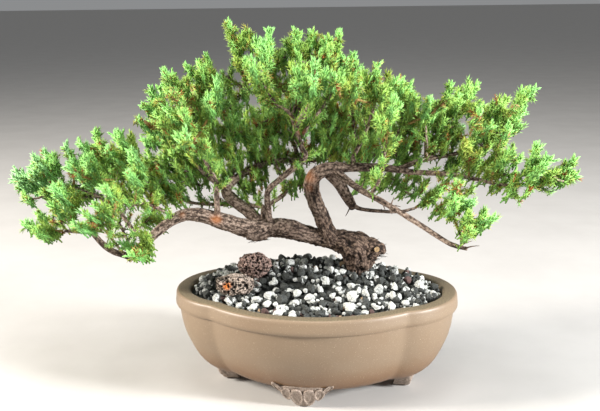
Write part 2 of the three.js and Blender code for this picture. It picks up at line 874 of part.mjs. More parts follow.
/** The free place on the wood nearest to a spray's heart. */
function nearestWood(heart, taken) {
  let best = null;
  for (const piece of WOOD_PIECES) {
    if (piece.radius > THICKEST_BEARER) continue;
    for (let share = 0; share <= 1; share += ROOT_STEP) {
      const point = piece.from.clone().lerp(piece.to, share);
      const distance = point.distanceTo(heart);
      if (best && distance >= best.distance) continue;
      const isEnd = piece.isTwigEnd && share === 1;
      const way = heart.clone().sub(point).normalize();
      const isTaken = taken.some((other) => other.distanceTo(point) < ROOT_SPACING);
      if (isTaken || isInsideThickerWood(point, piece)) continue;
      if (isEnd || alongWood(piece, way) < STEEPEST_ALONG) best = { distance, point, piece };
    }
  }
  return best;
}

function distanceToBark(place, bark) {
  const nearest = new THREE.Vector3();
  const distances = bark.map((triangle) => triangle.closestPointToPoint(place, nearest).distanceTo(place));
  return Math.min(...distances);
}

/** Where a stem stands: its flat foot goes from the heart towards the root until it is a gap off the bark. */
function stemFoot(root, heart, wholeBark) {
  const bark = wholeBark.filter((triangle) => distanceToBark(root, [triangle]) < SEAT_REACH);
  const way = root.clone().sub(heart).normalize();
  const footPoints = [new THREE.Vector3()];
  for (let corner = 0; corner < SEAT_CORNERS; corner++) {
    const angle = (2 * Math.PI * corner) / SEAT_CORNERS;
    footPoints.push(forkDirection(way, Math.PI / 2, angle).multiplyScalar(STEM_RADIUS));
  }
  const foot = heart.clone();
  for (let step = 0; step < SEAT_STEPS; step++) {
    const clearances = footPoints.map((point) => distanceToBark(foot.clone().add(point), bark));
    foot.addScaledVector(way, Math.min(...clearances) - SEAT_GAP);
  }
  return foot;
}

/** Points round a stem; in a whorl every second one is a needle's tip. */
function shootRing(centre, ahead, across, radius, isTip) {
  const side = new THREE.Vector3().crossVectors(ahead, across);
  return Array.from({ length: SHOOT_SIDES }, (_, corner) => {
    const angle = (2 * Math.PI * corner) / SHOOT_SIDES;
    const reach = isTip(corner) ? NEEDLE_REACH : radius;
    const point = centre
      .clone()
      .addScaledVector(across, reach * Math.cos(angle))
      .addScaledVector(side, reach * Math.sin(angle));
    return isTip(corner) ? point.addScaledVector(ahead, NEEDLE_SWEEP) : point;
  });
}

/** A leafy shoot that follows some bare stem points [place, radius] and then goes straight on. */
function makeLeafyShoot(stem, direction, length) {
  let across = new THREE.Vector3(0, 0, 1).cross(direction);
  if (across.length() < 0.1) across = new THREE.Vector3(1, 0, 0);
  const never = () => false;
  const rings = stem.map(([place, radius], index) => {
    const isLast = index === stem.length - 1;
    const ahead = isLast ? direction : stem[index + 1][0].clone().sub(place).normalize();
    across = across.clone().addScaledVector(ahead, -across.dot(ahead)).normalize();
    return shootRing(place, ahead, across, radius, never);
  });
  const start = stem.at(-1)[0];
  const spacing = (length - BARE_FOOT) / WHORLS;
  for (let whorl = 0; whorl < WHORLS; whorl++) {
    const place = start.clone().addScaledVector(direction, BARE_FOOT + whorl * spacing);
    const ring = rings.length;
    const isTip = (corner) => (corner + ring) % 2 === 0;
    rings.push(shootRing(place, direction, across, SHOOT_CORE_RADIUS, isTip));
  }
  return loft(rings, start.clone().addScaledVector(direction, length));
}

/** A direction at an angle off an axis, turned about it. */
function forkDirection(axis, offAngle, turn) {
  const helper = Math.abs(axis.z) > 0.9 ? new THREE.Vector3(1, 0, 0) : UP;
  const across = new THREE.Vector3().crossVectors(axis, helper).normalize().applyAxisAngle(axis, turn);
  return axis.clone().multiplyScalar(Math.cos(offAngle)).addScaledVector(across, Math.sin(offAngle));
}

function shootPiece(from, direction, length, radius) {
  return { from, to: from.clone().addScaledVector(direction, length), radius };
}

/** The stems of all sprays are placed first, each bent clear of those before it. */
function placeStems(bark, random) {
  const placed = [];
  const roots = [];
  return SPRAYS.map(([x, y, z, forks]) => {
    const wanted = new THREE.Vector3(x, y, z);
    const bearer = nearestWood(wanted, roots);
    roots.push(bearer.point);
    const otherWood = WOOD_PIECES.filter(
      (piece) => distanceBetween(piece, bearer.piece) > SHOOT_CLEARANCE,
    );
    for (let attempt = 0; attempt < MOST_TRIES; attempt++) {
      const shift = new THREE.Vector3(random() - 0.5, random() - 0.5, random() - 0.5);
      const heart = wanted.clone().addScaledVector(shift, attempt * SHIFT_PER_TRY);
      const outward = heart.clone().sub(CANOPY_HEART).normalize();
      const direction = heart
        .clone()
        .sub(bearer.point)
        .normalize()
        .addScaledVector(outward, OUTWARD_PULL)
        .addScaledVector(UP, UPWARD_PULL)
        .normalize();
      const length = SHOOT_LENGTH + SHOOT_LENGTH_SPREAD * (random() - 0.5);
      const stem = { from: stemFoot(bearer.point, heart, bark), to: heart, radius: STEM_RADIUS };
      const leader = shootPiece(heart, direction, length, NEEDLE_REACH);
      const isFree = isClear(leader, [...placed, ...WOOD_PIECES]) && isClear(stem, [...placed, ...otherWood]);
      if (!isFree && attempt < MOST_TRIES - 1) continue;
      placed.push(stem, leader);
      return { stem, leader, direction, length, forks, shoots: [] };
    }
  });
}

/** Leafy shoots fork from each stem by the golden angle, and only where they clear their neighbours. */
function placeForks(sprays, random) {
  const placed = sprays.flatMap((spray) => [spray.stem, spray.leader]);
  for (const spray of sprays) {
    const others = placed.filter((piece) => piece !== spray.stem && piece !== spray.leader);
    const own = [spray.leader];
    for (let fork = 0; fork < spray.forks; fork++) {
      for (let attempt = 0; attempt < MOST_TRIES; attempt++) {
        const share = THREE.MathUtils.lerp(FORK_FROM, 1, (fork + 0.5) / spray.forks);
        const start = spray.stem.from.clone().lerp(spray.stem.to, share);
        const turn = GOLDEN_ANGLE * fork + TURN_PER_TRY * attempt + TURN_SPREAD * random();
        const offAngle = THREE.MathUtils.lerp(...FORK_ANGLE, random());
        const direction = forkDirection(
          spray.direction,
          THREE.MathUtils.degToRad(offAngle),
          THREE.MathUtils.degToRad(turn),
        );
        direction.addScaledVector(UP, FORK_LIFT).normalize();
        const length = SHOOT_LENGTH - SHOOT_LENGTH_SPREAD * random();
        const piece = shootPiece(start, direction, length, NEEDLE_REACH);
        // Shoots of one spray may touch near their feet only.
        const leafyFrom = start.clone().addScaledVector(direction, 2 * BARE_FOOT);
        const leafyPart = shootPiece(leafyFrom, direction, length - 2 * BARE_FOOT, SHOOT_CORE_RADIUS * 2);
        if (!isClear(piece, [...others, ...WOOD_PIECES]) || !isClear(leafyPart, own)) continue;
        spray.shoots.push({ start, direction, length });
        own.push(leafyPart);
        placed.push(piece);
        break;
      }
    }
  }
}

function makeSpray({ stem, direction, length, shoots }) {
  const foot = [stem.from, STEM_RADIUS];
  const heart = [stem.to, SHOOT_CORE_RADIUS];
  const leader = makeLeafyShoot([foot, heart], direction, length);
  const forks = shoots.map((shoot) =>
    makeLeafyShoot([[shoot.start, FORK_FOOT_RADIUS]], shoot.direction, shoot.length),
  );
  return unite([leader, ...forks]);
}

// ---- The finished plant ----

const MATERIALS = {
  clay: new THREE.MeshStandardMaterial({ color: "#b7a184", roughness: 0.5, metalness: 0 }),
  screen: new THREE.MeshStandardMaterial({ color: "#24262a", roughness: 0.6, metalness: 0 }),
  gravel: new THREE.MeshStandardMaterial({ color: "#8f8d88", roughness: 0.95, metalness: 0 }),
  lava: new THREE.MeshStandardMaterial({ color: "#5d463f", roughness: 1, metalness: 0 }),
  bark: new THREE.MeshStandardMaterial({ color: "#6b5342", roughness: 0.95, metalness: 0 }),
  foliage: new THREE.MeshStandardMaterial({ color: "#6f9f4f", roughness: 0.7, metalness: 0 }),
};

const plant = new THREE.Group();

function addPiece(name, solid, material) {
  const mesh = new THREE.Mesh(geometryFromSolid(solid), material);
  mesh.name = name;
  plant.add(mesh);
}

addPiece("pot", makePot(), MATERIALS.clay);
addPiece("drainage_screen_left", makeScreen(-DRAIN_X), MATERIALS.screen);
addPiece("drainage_screen_right", makeScreen(DRAIN_X), MATERIALS.screen);
addPiece("gravel", makeGravel(), MATERIALS.gravel);
for (const [name, rock] of Object.entries(LAVA_ROCKS)) {
  addPiece(name, makeLavaRock(rock), MATERIALS.lava);
}
const wood = makeWood(0);
addPiece("trunk", wood, MATERIALS.bark);

const random = seededRandom(FOLIAGE_SEED);
const sprays = placeStems(trianglesOf(wood), random);
placeForks(sprays, random);
sprays.forEach((spray, index) => {
  const name = "spray_" + String(index + 1).padStart(2, "0");
  addPiece(name, makeSpray(spray), MATERIALS.foliage);
});

const bounds = new THREE.Box3().setFromObject(plant);
plant.position.set(
  -(bounds.min.x + bounds.max.x) / 2,
  -(bounds.min.y + bounds.max.y) / 2,
  -bounds.min.z,
);

const bonsai = new THREE.Group();
bonsai.add(plant);
export default bonsai;
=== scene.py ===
"""A juniper bonsai in a four-lobed stoneware pot on cloud-shaped feet.

Every size is in millimetres, measured from the middle of the pot at the height of the surface that it
stands on. A piece is modelled in those units, and `hand_over` brings its mesh to the frame's metres.
"""

import sys

import logging
import math
from dataclasses import dataclass, field
from enum import Enum
from typing import Iterable, Sequence

import bmesh
import bpy
import numpy as np
from mathutils import Matrix, Vector, noise


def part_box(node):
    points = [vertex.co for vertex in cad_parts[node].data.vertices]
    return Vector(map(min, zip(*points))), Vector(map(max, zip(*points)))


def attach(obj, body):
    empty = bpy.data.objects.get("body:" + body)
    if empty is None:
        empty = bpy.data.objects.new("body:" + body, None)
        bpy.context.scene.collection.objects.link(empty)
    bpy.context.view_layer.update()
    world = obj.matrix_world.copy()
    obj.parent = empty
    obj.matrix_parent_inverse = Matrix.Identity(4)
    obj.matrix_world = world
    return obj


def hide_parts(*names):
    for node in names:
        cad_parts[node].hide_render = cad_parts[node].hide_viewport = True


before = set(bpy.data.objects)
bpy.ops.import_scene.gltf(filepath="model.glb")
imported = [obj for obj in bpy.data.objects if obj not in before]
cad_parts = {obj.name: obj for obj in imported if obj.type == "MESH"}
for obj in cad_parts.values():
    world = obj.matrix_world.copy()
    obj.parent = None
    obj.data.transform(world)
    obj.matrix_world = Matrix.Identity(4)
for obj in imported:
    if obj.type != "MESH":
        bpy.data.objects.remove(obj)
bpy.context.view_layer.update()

log = logging.getLogger("bonsai")

MM = 0.001  # metres in a millimetre
UP = np.array([0, 0, 1.0])
GOLDEN_ANGLE = math.radians(137.5)  # from one shoot or needle to the next, round their stem
ANY_TURN = (0.0, 6.3)  # radians
POT_LOW, POT_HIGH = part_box("pot")
POT_MIDDLE = Vector(((POT_LOW.x + POT_HIGH.x) / 2, (POT_LOW.y + POT_HIGH.y) / 2, 0))
TO_FRAME = Matrix.Translation(POT_MIDDLE) @ Matrix.Scale(MM, 4)  # from millimetres round the pot to metres

Colour = tuple[float, float, float, float]
Point = tuple[float, float, float]
Pair = tuple[float, float]  # two coordinates, or the ends of a range
Row = tuple[float, float, float, float]  # x, y, z, and a radius or a reach
Piece = bpy.types.Object
Mesh = bpy.types.Mesh
Material = bpy.types.Material
Random = np.random.Generator
Sockets = dict[str, bpy.types.NodeSocket]


# ---- Helpers for modelling ----


def deselect_all() -> None:
    """Leaves object mode with nothing selected and nothing active."""
    if bpy.context.object and bpy.context.object.mode != "OBJECT":
        bpy.ops.object.mode_set(mode="OBJECT")
    bpy.ops.object.select_all(action="DESELECT")


def select_only(piece: Piece) -> None:
    """Selects one object and makes it active."""
    deselect_all()
    piece.select_set(True)
    bpy.context.view_layer.objects.active = piece


def start_piece(name: str) -> Piece:
    """Names the primitive that was just added, and its mesh.

    Args:
        name: The name for both.

    Returns:
        The primitive's object.
    """
    piece = bpy.context.object
    piece.name = name
    piece.data.name = name
    return piece


def join(pieces: Sequence[Piece], name: str) -> Piece:
    """Joins pieces into the first one and names it.

    Args:
        pieces: Mesh objects, at least one.
        name: The joined piece's name.

    Returns:
        The joined object.
    """
    deselect_all()
    for piece in pieces:
        piece.select_set(True)
    bpy.context.view_layer.objects.active = pieces[0]
    if len(pieces) > 1:
        bpy.ops.object.join()
    return start_piece(name)


def apply_modifier(piece: Piece, kind: str, **settings: object) -> None:
    """Adds a modifier with its settings and applies it.

    Args:
        piece: The object that is changed.
        kind: The modifier's type, such as "BEVEL".
        **settings: The modifier's properties.
    """
    select_only(piece)
    modifier = piece.modifiers.new(kind.title(), kind)
    for setting, value in settings.items():
        setattr(modifier, setting, value)
    bpy.ops.object.modifier_apply(modifier=modifier.name)


def loft(name: str, rings: Sequence[np.ndarray]) -> Piece:
    """Models a closed solid through rings of equally many points.

    A filled circle is laid on the first ring, and is then extruded from ring to ring.

    Args:
        name: The new object's name.
        rings: Arrays of points, n by 3, in the order in which they are reached.

    Returns:
        The new object, with its faces pointing out.
    """
    deselect_all()
    bpy.ops.mesh.primitive_circle_add(vertices=len(rings[0]), radius=1, fill_type="NGON")
    piece = start_piece(name)
    bpy.ops.object.mode_set(mode="EDIT")
    bpy.ops.mesh.select_all(action="SELECT")
    shape = bmesh.from_edit_mesh(piece.data)
    station = shape.verts.layers.int.new("station")
    shape.verts.ensure_lookup_table()
    for index, corner in enumerate(shape.verts):
        corner[station] = index
        corner.co = rings[0][index]
    for ring in rings[1:]:
        bpy.ops.mesh.extrude_region_move()
        shape = bmesh.from_edit_mesh(piece.data)
        station = shape.verts.layers.int["station"]
        for corner in shape.verts:
            if corner.select:
                corner.co = ring[corner[station]]
    shape.verts.layers.int.remove(shape.verts.layers.int["station"])
    bmesh.update_edit_mesh(piece.data)
    face_out()
    return piece


def points_of(mesh: Mesh) -> np.ndarray:
    """Reads the places of a mesh's vertices.

    Args:
        mesh: Any mesh.

    Returns:
        x, y, z of each vertex, n by 3.
    """
    places = np.empty(len(mesh.vertices) * 3)
    mesh.vertices.foreach_get("co", places)
    return places.reshape(-1, 3)


def place_points(mesh: Mesh, places: np.ndarray) -> None:
    """Moves a mesh's vertices to new places, n by 3."""
    mesh.vertices.foreach_set("co", np.ascontiguousarray(places, dtype=np.float32).ravel())
    mesh.update()


def normals_of(mesh: Mesh) -> np.ndarray:
    """Reads the normals of a mesh's vertices.

    Args:
        mesh: Any mesh.

    Returns:
        A direction for each vertex, n by 3.
    """
    directions = np.empty(len(mesh.vertices) * 3, np.float32)
    mesh.vertex_normals.foreach_get("vector", directions)
    return directions.reshape(-1, 3).astype(float)


def triangles_of(mesh: Mesh) -> np.ndarray:
    """Reads a mesh's faces as triangles.

    Args:
        mesh: Any mesh.

    Returns:
        Three vertex numbers for each triangle, n by 3.
    """
    mesh.calc_loop_triangles()
    corners = np.empty(len(mesh.loop_triangles) * 3, np.int32)
    mesh.loop_triangles.foreach_get("vertices", corners)
    return corners.reshape(-1, 3)


def set_attribute(mesh: Mesh, name: str, values: np.ndarray) -> None:
    """Writes one number, or one vector, for each vertex into a named attribute.

    Args:
        mesh: The mesh that gets it.
        name: The attribute's name.
        values: A number or a vector for each vertex.
    """
    values = np.asarray(values, np.float32)
    kind, key = ("FLOAT", "value") if values.ndim == 1 else ("FLOAT_VECTOR", "vector")
    layer = mesh.attributes.get(name) or mesh.attributes.new(name, kind, "POINT")
    layer.data.foreach_set(key, values.ravel())


def unit(vector: np.ndarray) -> np.ndarray:
    """The vector at a length of 1."""
    return vector / np.linalg.norm(vector)


def distances_along(route: np.ndarray) -> np.ndarray:
    """How far each row of x, y, z, radius lies along its limb."""
    return np.concatenate([[0], np.cumsum(np.linalg.norm(np.diff(route[:, :3], axis=0), axis=1))])


def smooth(piece: Piece, degrees: float) -> None:
    """Shades a piece smooth, but for the edges that turn by more than an angle."""
    select_only(piece)
    bpy.ops.object.shade_smooth_by_angle(angle=math.radians(degrees))


def face_out() -> None:
    """In edit mode, turns all faces to point out, and goes back to object mode."""
    bpy.ops.mesh.select_all(action="SELECT")
    bpy.ops.mesh.normals_make_consistent(inside=False)
    bpy.ops.object.mode_set(mode="OBJECT")


def hand_over(piece: Piece, replaced: Iterable[str] = ()) -> Piece:
    """Args:
        piece: A mesh object modelled in millimetres round the pot.
        replaced: The CAD nodes that it stands for.

    Returns:
        The piece.
    """
    piece.data.transform(TO_FRAME @ piece.matrix_world)
    piece.matrix_world = Matrix.Identity(4)
    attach(piece, "root")
    if replaced:
        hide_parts(*replaced)
    log.info("%s: %d faces", piece.name, len(piece.data.polygons))
    return piece


# ---- Finishes ----


def linear(hex_colour: str) -> Colour:
    """Turns an sRGB hex colour, such as "#cdb79a", into the linear colour that a shader takes."""
    channels = [int(hex_colour[i : i + 2], 16) / 255 for i in (1, 3, 5)]
    return (*[c / 12.92 if c <= 0.04045 else ((c + 0.055) / 1.055) ** 2.4 for c in channels], 1.0)


def add_node(
    material: Material,
    kind: str,
    inputs: dict | None = None,
    output: int | str = 0,
    stops: Sequence[tuple[float, str]] = (),
    **settings: object,
) -> bpy.types.NodeSocket:
    """Adds one shader node.

    Args:
        material: The material whose tree it joins.
        kind: The node's type, such as "TexNoise" for a ShaderNodeTexNoise.
        inputs: For each input, by name or number, a socket to link or a value to set.
        output: The output that is wanted, by name or number.
        stops: For a colour ramp, its places and hex colours.
        **settings: The node's own properties.

    Returns:
        That output of the new node.
    """
    node = material.node_tree.nodes.new("ShaderNode" + kind)
    for setting, value in settings.items():
        setattr(node, setting, value)
    for index, (place, colour) in enumerate(stops):
        elements = node.color_ramp.elements
        element = elements[index] if index < 2 else elements.new(place)
        element.position = place
        element.color = linear(colour)
    for socket, value in (inputs or {}).items():
        if isinstance(value, bpy.types.NodeSocket):
            material.node_tree.links.new(value, node.inputs[socket])
        else:
            node.inputs[socket].default_value = value
    return node.outputs[output]


@dataclass(frozen=True)
class Finish:
    """What every finish has: a name, and the values that are the same all over its surface."""

    name: str
    roughness: float
    specular: float = 0.5

    def material(self) -> Material:
        """Makes the material when it is first asked for.

        Returns:
            The material that goes by the finish's name.
        """
        made = bpy.data.materials.get(self.name)
        if made is None:
            made = bpy.data.materials.new(self.name)
            made.use_nodes = True
            shader = made.node_tree.nodes["Principled BSDF"]
            shader.inputs["Roughness"].default_value = self.roughness
            shader.inputs["Specular IOR Level"].default_value = self.specular
            for name, socket in self.paint(made).items():
                made.node_tree.links.new(socket, shader.inputs[name])
        return made

    def paint(self, material: Material) -> Sockets:
        """The sockets that feed the shader, by the name of its input."""
        raise NotImplementedError


@dataclass(frozen=True)
class Stoneware(Finish):
    """Unglazed stoneware, thrown and burnished: a satin clay with fine pale and dark grit in it."""

    upper: str = "#7d6b57"
    # the lower clay: partly its own colour, partly painted warm light reflected up from below
    lower: str = "#6f5136"
    grit_mm: float = 0.75
    cloud_mm: float = 34.0
    # the heights over which the lower clay, with its painted reflected light, blends into the upper clay
    paler_from_mm: float = 16.0
    paler_to_mm: float = 44.0
    bump_mm: float = 0.12
    # where in the grit's noise each kind of speck starts and is full, its strength and its colour
    specks: tuple[tuple[float, float, float, str], ...] = (
        (0.64, 0.72, 0.4, "#d6c7ad"), (0.35, 0.29, 0.45, "#5d4b38"),
    )  # fmt: skip

    def paint(self, material: Material) -> Sockets:
        """Clay that is paler towards the collar, clouded by the kiln, with grit in it. The warmer, darker
        brown low on the bowl is partly the clay's own colour and partly painted warm light reflected up from
        below.

        Args:
            material: The new material.

        Returns:
            The shader's colour and normal.
        """
        place = add_node(material, "TexCoord", output="Object")
        height = add_node(material, "SeparateXYZ", {"Vector": place}, "Z")
        rise = {"Value": height, "From Min": self.paler_from_mm * MM, "From Max": self.paler_to_mm * MM}
        rise = add_node(material, "MapRange", rise, interpolation_type="SMOOTHSTEP")
        clouds = {"Vector": place, "Scale": 1 / (self.cloud_mm * MM), "Detail": 4.0, "Roughness": 0.55}
        clouds = {0: add_node(material, "TexNoise", clouds), 1: 0.9, 2: -0.45}
        clouds = add_node(material, "Math", clouds, operation="MULTIPLY_ADD")
        share = add_node(material, "Math", {0: rise, 1: clouds})
        # the lower clay, partly painted reflected light, blends up into the upper clay
        clay = add_node(material, "ValToRGB", {"Fac": share}, stops=[(0.0, self.lower), (1.0, self.upper)])
        grit = {"Vector": place, "Scale": 1 / (self.grit_mm * MM), "Detail": 2.0, "Roughness": 0.7}
        grit = add_node(material, "TexNoise", grit)
        for start, full, most, colour in self.specks:
            speck = {"Value": grit, "From Min": start, "From Max": full, "To Max": most}
            speck = {0: add_node(material, "MapRange", speck), 6: clay, 7: linear(colour)}
            clay = add_node(material, "Mix", speck, 2, data_type="RGBA")
        relief = {"Height": grit, "Strength": 0.35, "Distance": self.bump_mm * MM}
        return {"Base Color": clay, "Normal": add_node(material, "Bump", relief)}


@dataclass(frozen=True)
class Grained(Finish):
    """A matt, grainy mineral or wood surface: two colours mixed by noise, with its grain in relief."""

    first: str = "#808080"
    second: str = "#606060"
    grain_mm: float = 1.5
    bump_mm: float = 0.4

    def paint(self, material: Material) -> Sockets:
        """Two tones over a grain of one size.

        Args:
            material: The new material.

        Returns:
            The shader's colour and normal.
        """
        place = add_node(material, "TexCoord", output="Object")
        grain = {"Vector": place, "Scale": 1 / MM / self.grain_mm, "Detail": 5.0, "Roughness": 0.65}
        grain = add_node(material, "TexNoise", grain)
        tone = add_node(material, "ValToRGB", {"Fac": grain}, stops=[(0.36, self.second), (0.62, self.first)])
        relief = {"Height": grain, "Strength": 0.8, "Distance": self.bump_mm * MM}
        return {"Base Color": tone, "Normal": add_node(material, "Bump", relief)}


@dataclass(frozen=True)
class JuniperNeedle(Finish):
    """Living juniper needles: waxy, a little glossy, darkened by painted shade at the foot and paler at the
    tip.
    """

    ages: tuple[tuple[float, str], ...] = (
        (0.0, "#b0e6a4"), (0.3, "#a3e682"), (0.6, "#b2d158"), (0.8, "#c9ac4e"), (1.0, "#b2622f"),
    )  # fmt: skip
    # painted shade, multiplied in at the needles' feet
    foot: str = "#38652a"
    foot_shade_strength: float = 0.85
    grain_mm: float = 0.9

    def paint(self, material: Material) -> Sockets:
        """The needle's age picks its colour, and its length runs from the foot, darkened as painted shade, to
        the tip.

        Args:
            material: The new material.

        Returns:
            The shader's colour.
        """
        age = add_node(material, "Attribute", output="Fac", attribute_name="age")
        tip = add_node(material, "Attribute", output="Fac", attribute_name="tip")
        leaf = add_node(material, "ValToRGB", {"Fac": age}, stops=self.ages)
        place = add_node(material, "TexCoord", output="Object")
        mottle = add_node(material, "TexNoise", {"Vector": place, "Scale": 1 / (self.grain_mm * MM)})
        lit = add_node(material, "Math", {0: mottle, 1: 0.5, 2: tip}, operation="MULTIPLY_ADD")
        share = add_node(material, "MapRange", {"Value": lit, "From Min": 0.24, "From Max": 1.02})
        # painted shade at the feet of the needles
        foot = {0: self.foot_shade_strength, 6: leaf, 7: linear(self.foot)}
        foot = add_node(material, "Mix", foot, 2, data_type="RGBA", blend_type="MULTIPLY")
        return {"Base Color": add_node(material, "Mix", {0: share, 6: foot, 7: leaf}, 2, data_type="RGBA")}


@dataclass(frozen=True)
class FlakyBark(Finish):
    """Old juniper bark: thin fibrous flakes, dark in the furrows as painted shade, and pale where they have
    peeled.
    """

    dark: tuple[str, str, str] = ("#110c0a", "#3f3028", "#7f6b5d")
    pale: tuple[str, str, str] = ("#2a211c", "#66554a", "#ab988a")
    scar: str = "#c47a45"
    flake_mm: float = 1.7
    fibre_mm: float = 0.55
    along: float = 0.75  # the flakes' width over their length
    bump_mm: float = 0.9

    def paint(self, material: Material) -> Sockets:
        """Flakes and fibres in three tones, paler on the young limbs, with a few orange scars, and painted
        shade in the furrows.

        Args:
            material: The new material.

        Returns:
            The shader's colour and normal.
        """
        grain = add_node(material, "Attribute", output="Vector", attribute_name="grain")
        pale, scar, furrow_shade = [
            add_node(material, "Attribute", output="Fac", attribute_name=name)
            for name in ("paleness", "scar", "relief")
        ]
        drawn = add_node(material, "Mapping", {"Vector": grain, "Scale": (1.0, 1.0, self.along)})
        fibre = {"Vector": drawn, "Scale": 1 / self.fibre_mm, "Detail": 6.0, "Roughness": 0.72}
        fibre = add_node(material, "TexNoise", fibre)
        flake = {"Vector": drawn, "Scale": 1 / self.flake_mm, "Randomness": 1.0}
        flake = add_node(material, "TexVoronoi", flake)
        mixed = add_node(material, "Math", {0: flake, 1: -0.35, 2: fibre}, operation="MULTIPLY_ADD")
        # the furrows' depth darkens the tone: painted shade
        raised = add_node(material, "Math", {0: furrow_shade, 1: 0.5, 2: mixed}, operation="MULTIPLY_ADD")
        share = add_node(material, "MapRange", {"Value": raised, "From Min": 0.34, "From Max": 0.84})
        old, young = [
            add_node(material, "ValToRGB", {"Fac": share}, stops=list(zip((0.15, 0.5, 0.85), tones)))
            for tones in (self.dark, self.pale)
        ]
        aged = add_node(material, "Mix", {0: pale, 6: old, 7: young}, 2, data_type="RGBA")
        scarred = {0: scar, 6: aged, 7: linear(self.scar)}
        relief = {"Height": mixed, "Strength": 1.0, "Distance": self.bump_mm * MM}
        return {
            "Base Color": add_node(material, "Mix", scarred, 2, data_type="RGBA"),
            "Normal": add_node(material, "Bump", relief),
        }


@dataclass(frozen=True)
class PorousLava(Finish):
    """Scoria: frothy lava, matt and rough, with gas pits all over, darkened in their depths as painted shade.
    """

    rim: str = "#d8bcb1"
    wall: str = "#95756a"
    # painted shade, mixed in by the pits' depth
    pit: str = "#0d0807"
    stain: str = ""
    grain_mm: float = 1.1
    bump_mm: float = 0.5

    def paint(self, material: Material) -> Sockets:
        """A stain may colour one side of the stone, and the pits' depth darkens it as painted shade.

        Args:
            material: The new material.

        Returns:
            The shader's colour and normal.
        """
        place = add_node(material, "TexCoord", output="Object")
        grain = {"Vector": place, "Scale": 1 / (self.grain_mm * MM), "Detail": 5.0, "Roughness": 0.7}
        grain = add_node(material, "TexNoise", grain)
        stone = add_node(material, "ValToRGB", {"Fac": grain}, stops=[(0.38, self.wall), (0.6, self.rim)])
        # the stain is the stone's own colour; the pit colour is painted shade in the pits
        for name, colour in (("stain", self.stain), ("pit", self.pit)):
            if colour:
                share = add_node(material, "Attribute", output="Fac", attribute_name=name)
                stone = {0: share, 6: stone, 7: linear(colour)}
                stone = add_node(material, "Mix", stone, 2, data_type="RGBA")
        relief = {"Height": grain, "Strength": 0.9, "Distance": self.bump_mm * MM}
        return {"Base Color": stone, "Normal": add_node(material, "Bump", relief)}


STONEWARE = Stoneware("burnished_stoneware", 0.45)
RIM_CLAY = Grained("bare_rim_clay", 0.55, first="#7c6f59", second="#574d3d", grain_mm=1.2, bump_mm=0.1)
FOOT_CLAY = Grained("pitted_foot_clay", 0.8, first="#a7978a", second="#6f6259", grain_mm=1.3, bump_mm=0.5)
PUMICE = Grained("white_pumice", 0.9, first="#d9dbd8", second="#8d8f8b", grain_mm=0.9)
SCORIA = Grained("charcoal_scoria", 0.85, first="#4b4e4b", second="#0f1010", grain_mm=0.8)
BROWN_STONE = Grained("red_scoria", 0.85, first="#5f4742", second="#332524", grain_mm=0.9)
TAN_STONE = Grained("tan_pumice", 0.9, first="#c9ad8a", second="#8f7458", grain_mm=1.0)
MAUVE_LAVA = PorousLava("mauve_lava_rock", 0.95)
GREY_LAVA = PorousLava("grey_lava_rock", 0.95, rim="#ddcbbc", wall="#8f7b6f", stain="#f08a3a")
BARK = FlakyBark("juniper_bark", 0.85, specular=0.3)
CUT_WOOD = Grained("weathered_cut_wood", 0.7, first="#a48860", second="#6c5437", grain_mm=0.9)
GREEN_TWIG = Grained("green_twig_bark", 0.7, first="#a8834e", second="#66612f", grain_mm=1.5)
NEEDLES = JuniperNeedle("juniper_needles", 0.5, specular=0.35)
NETTING = Grained("black_plastic_net", 0.5, first="#24262a", second="#15171a", grain_mm=0.6)
FLOOR_PAINT = Grained("pale_floor", 0.9, first="#bab8b5", second="#b5b3b0", grain_mm=90)


def coat(piece: Piece, *finishes: Finish) -> None:
    """Gives a piece its finishes, in place of any material that it has.

    Args:
        piece: A mesh object.
        *finishes: Its finishes, in the order of its material slots.
    """
    piece.data.materials.clear()
    for finish in finishes:
        piece.data.materials.append(finish.material())


# ---- Pot ----


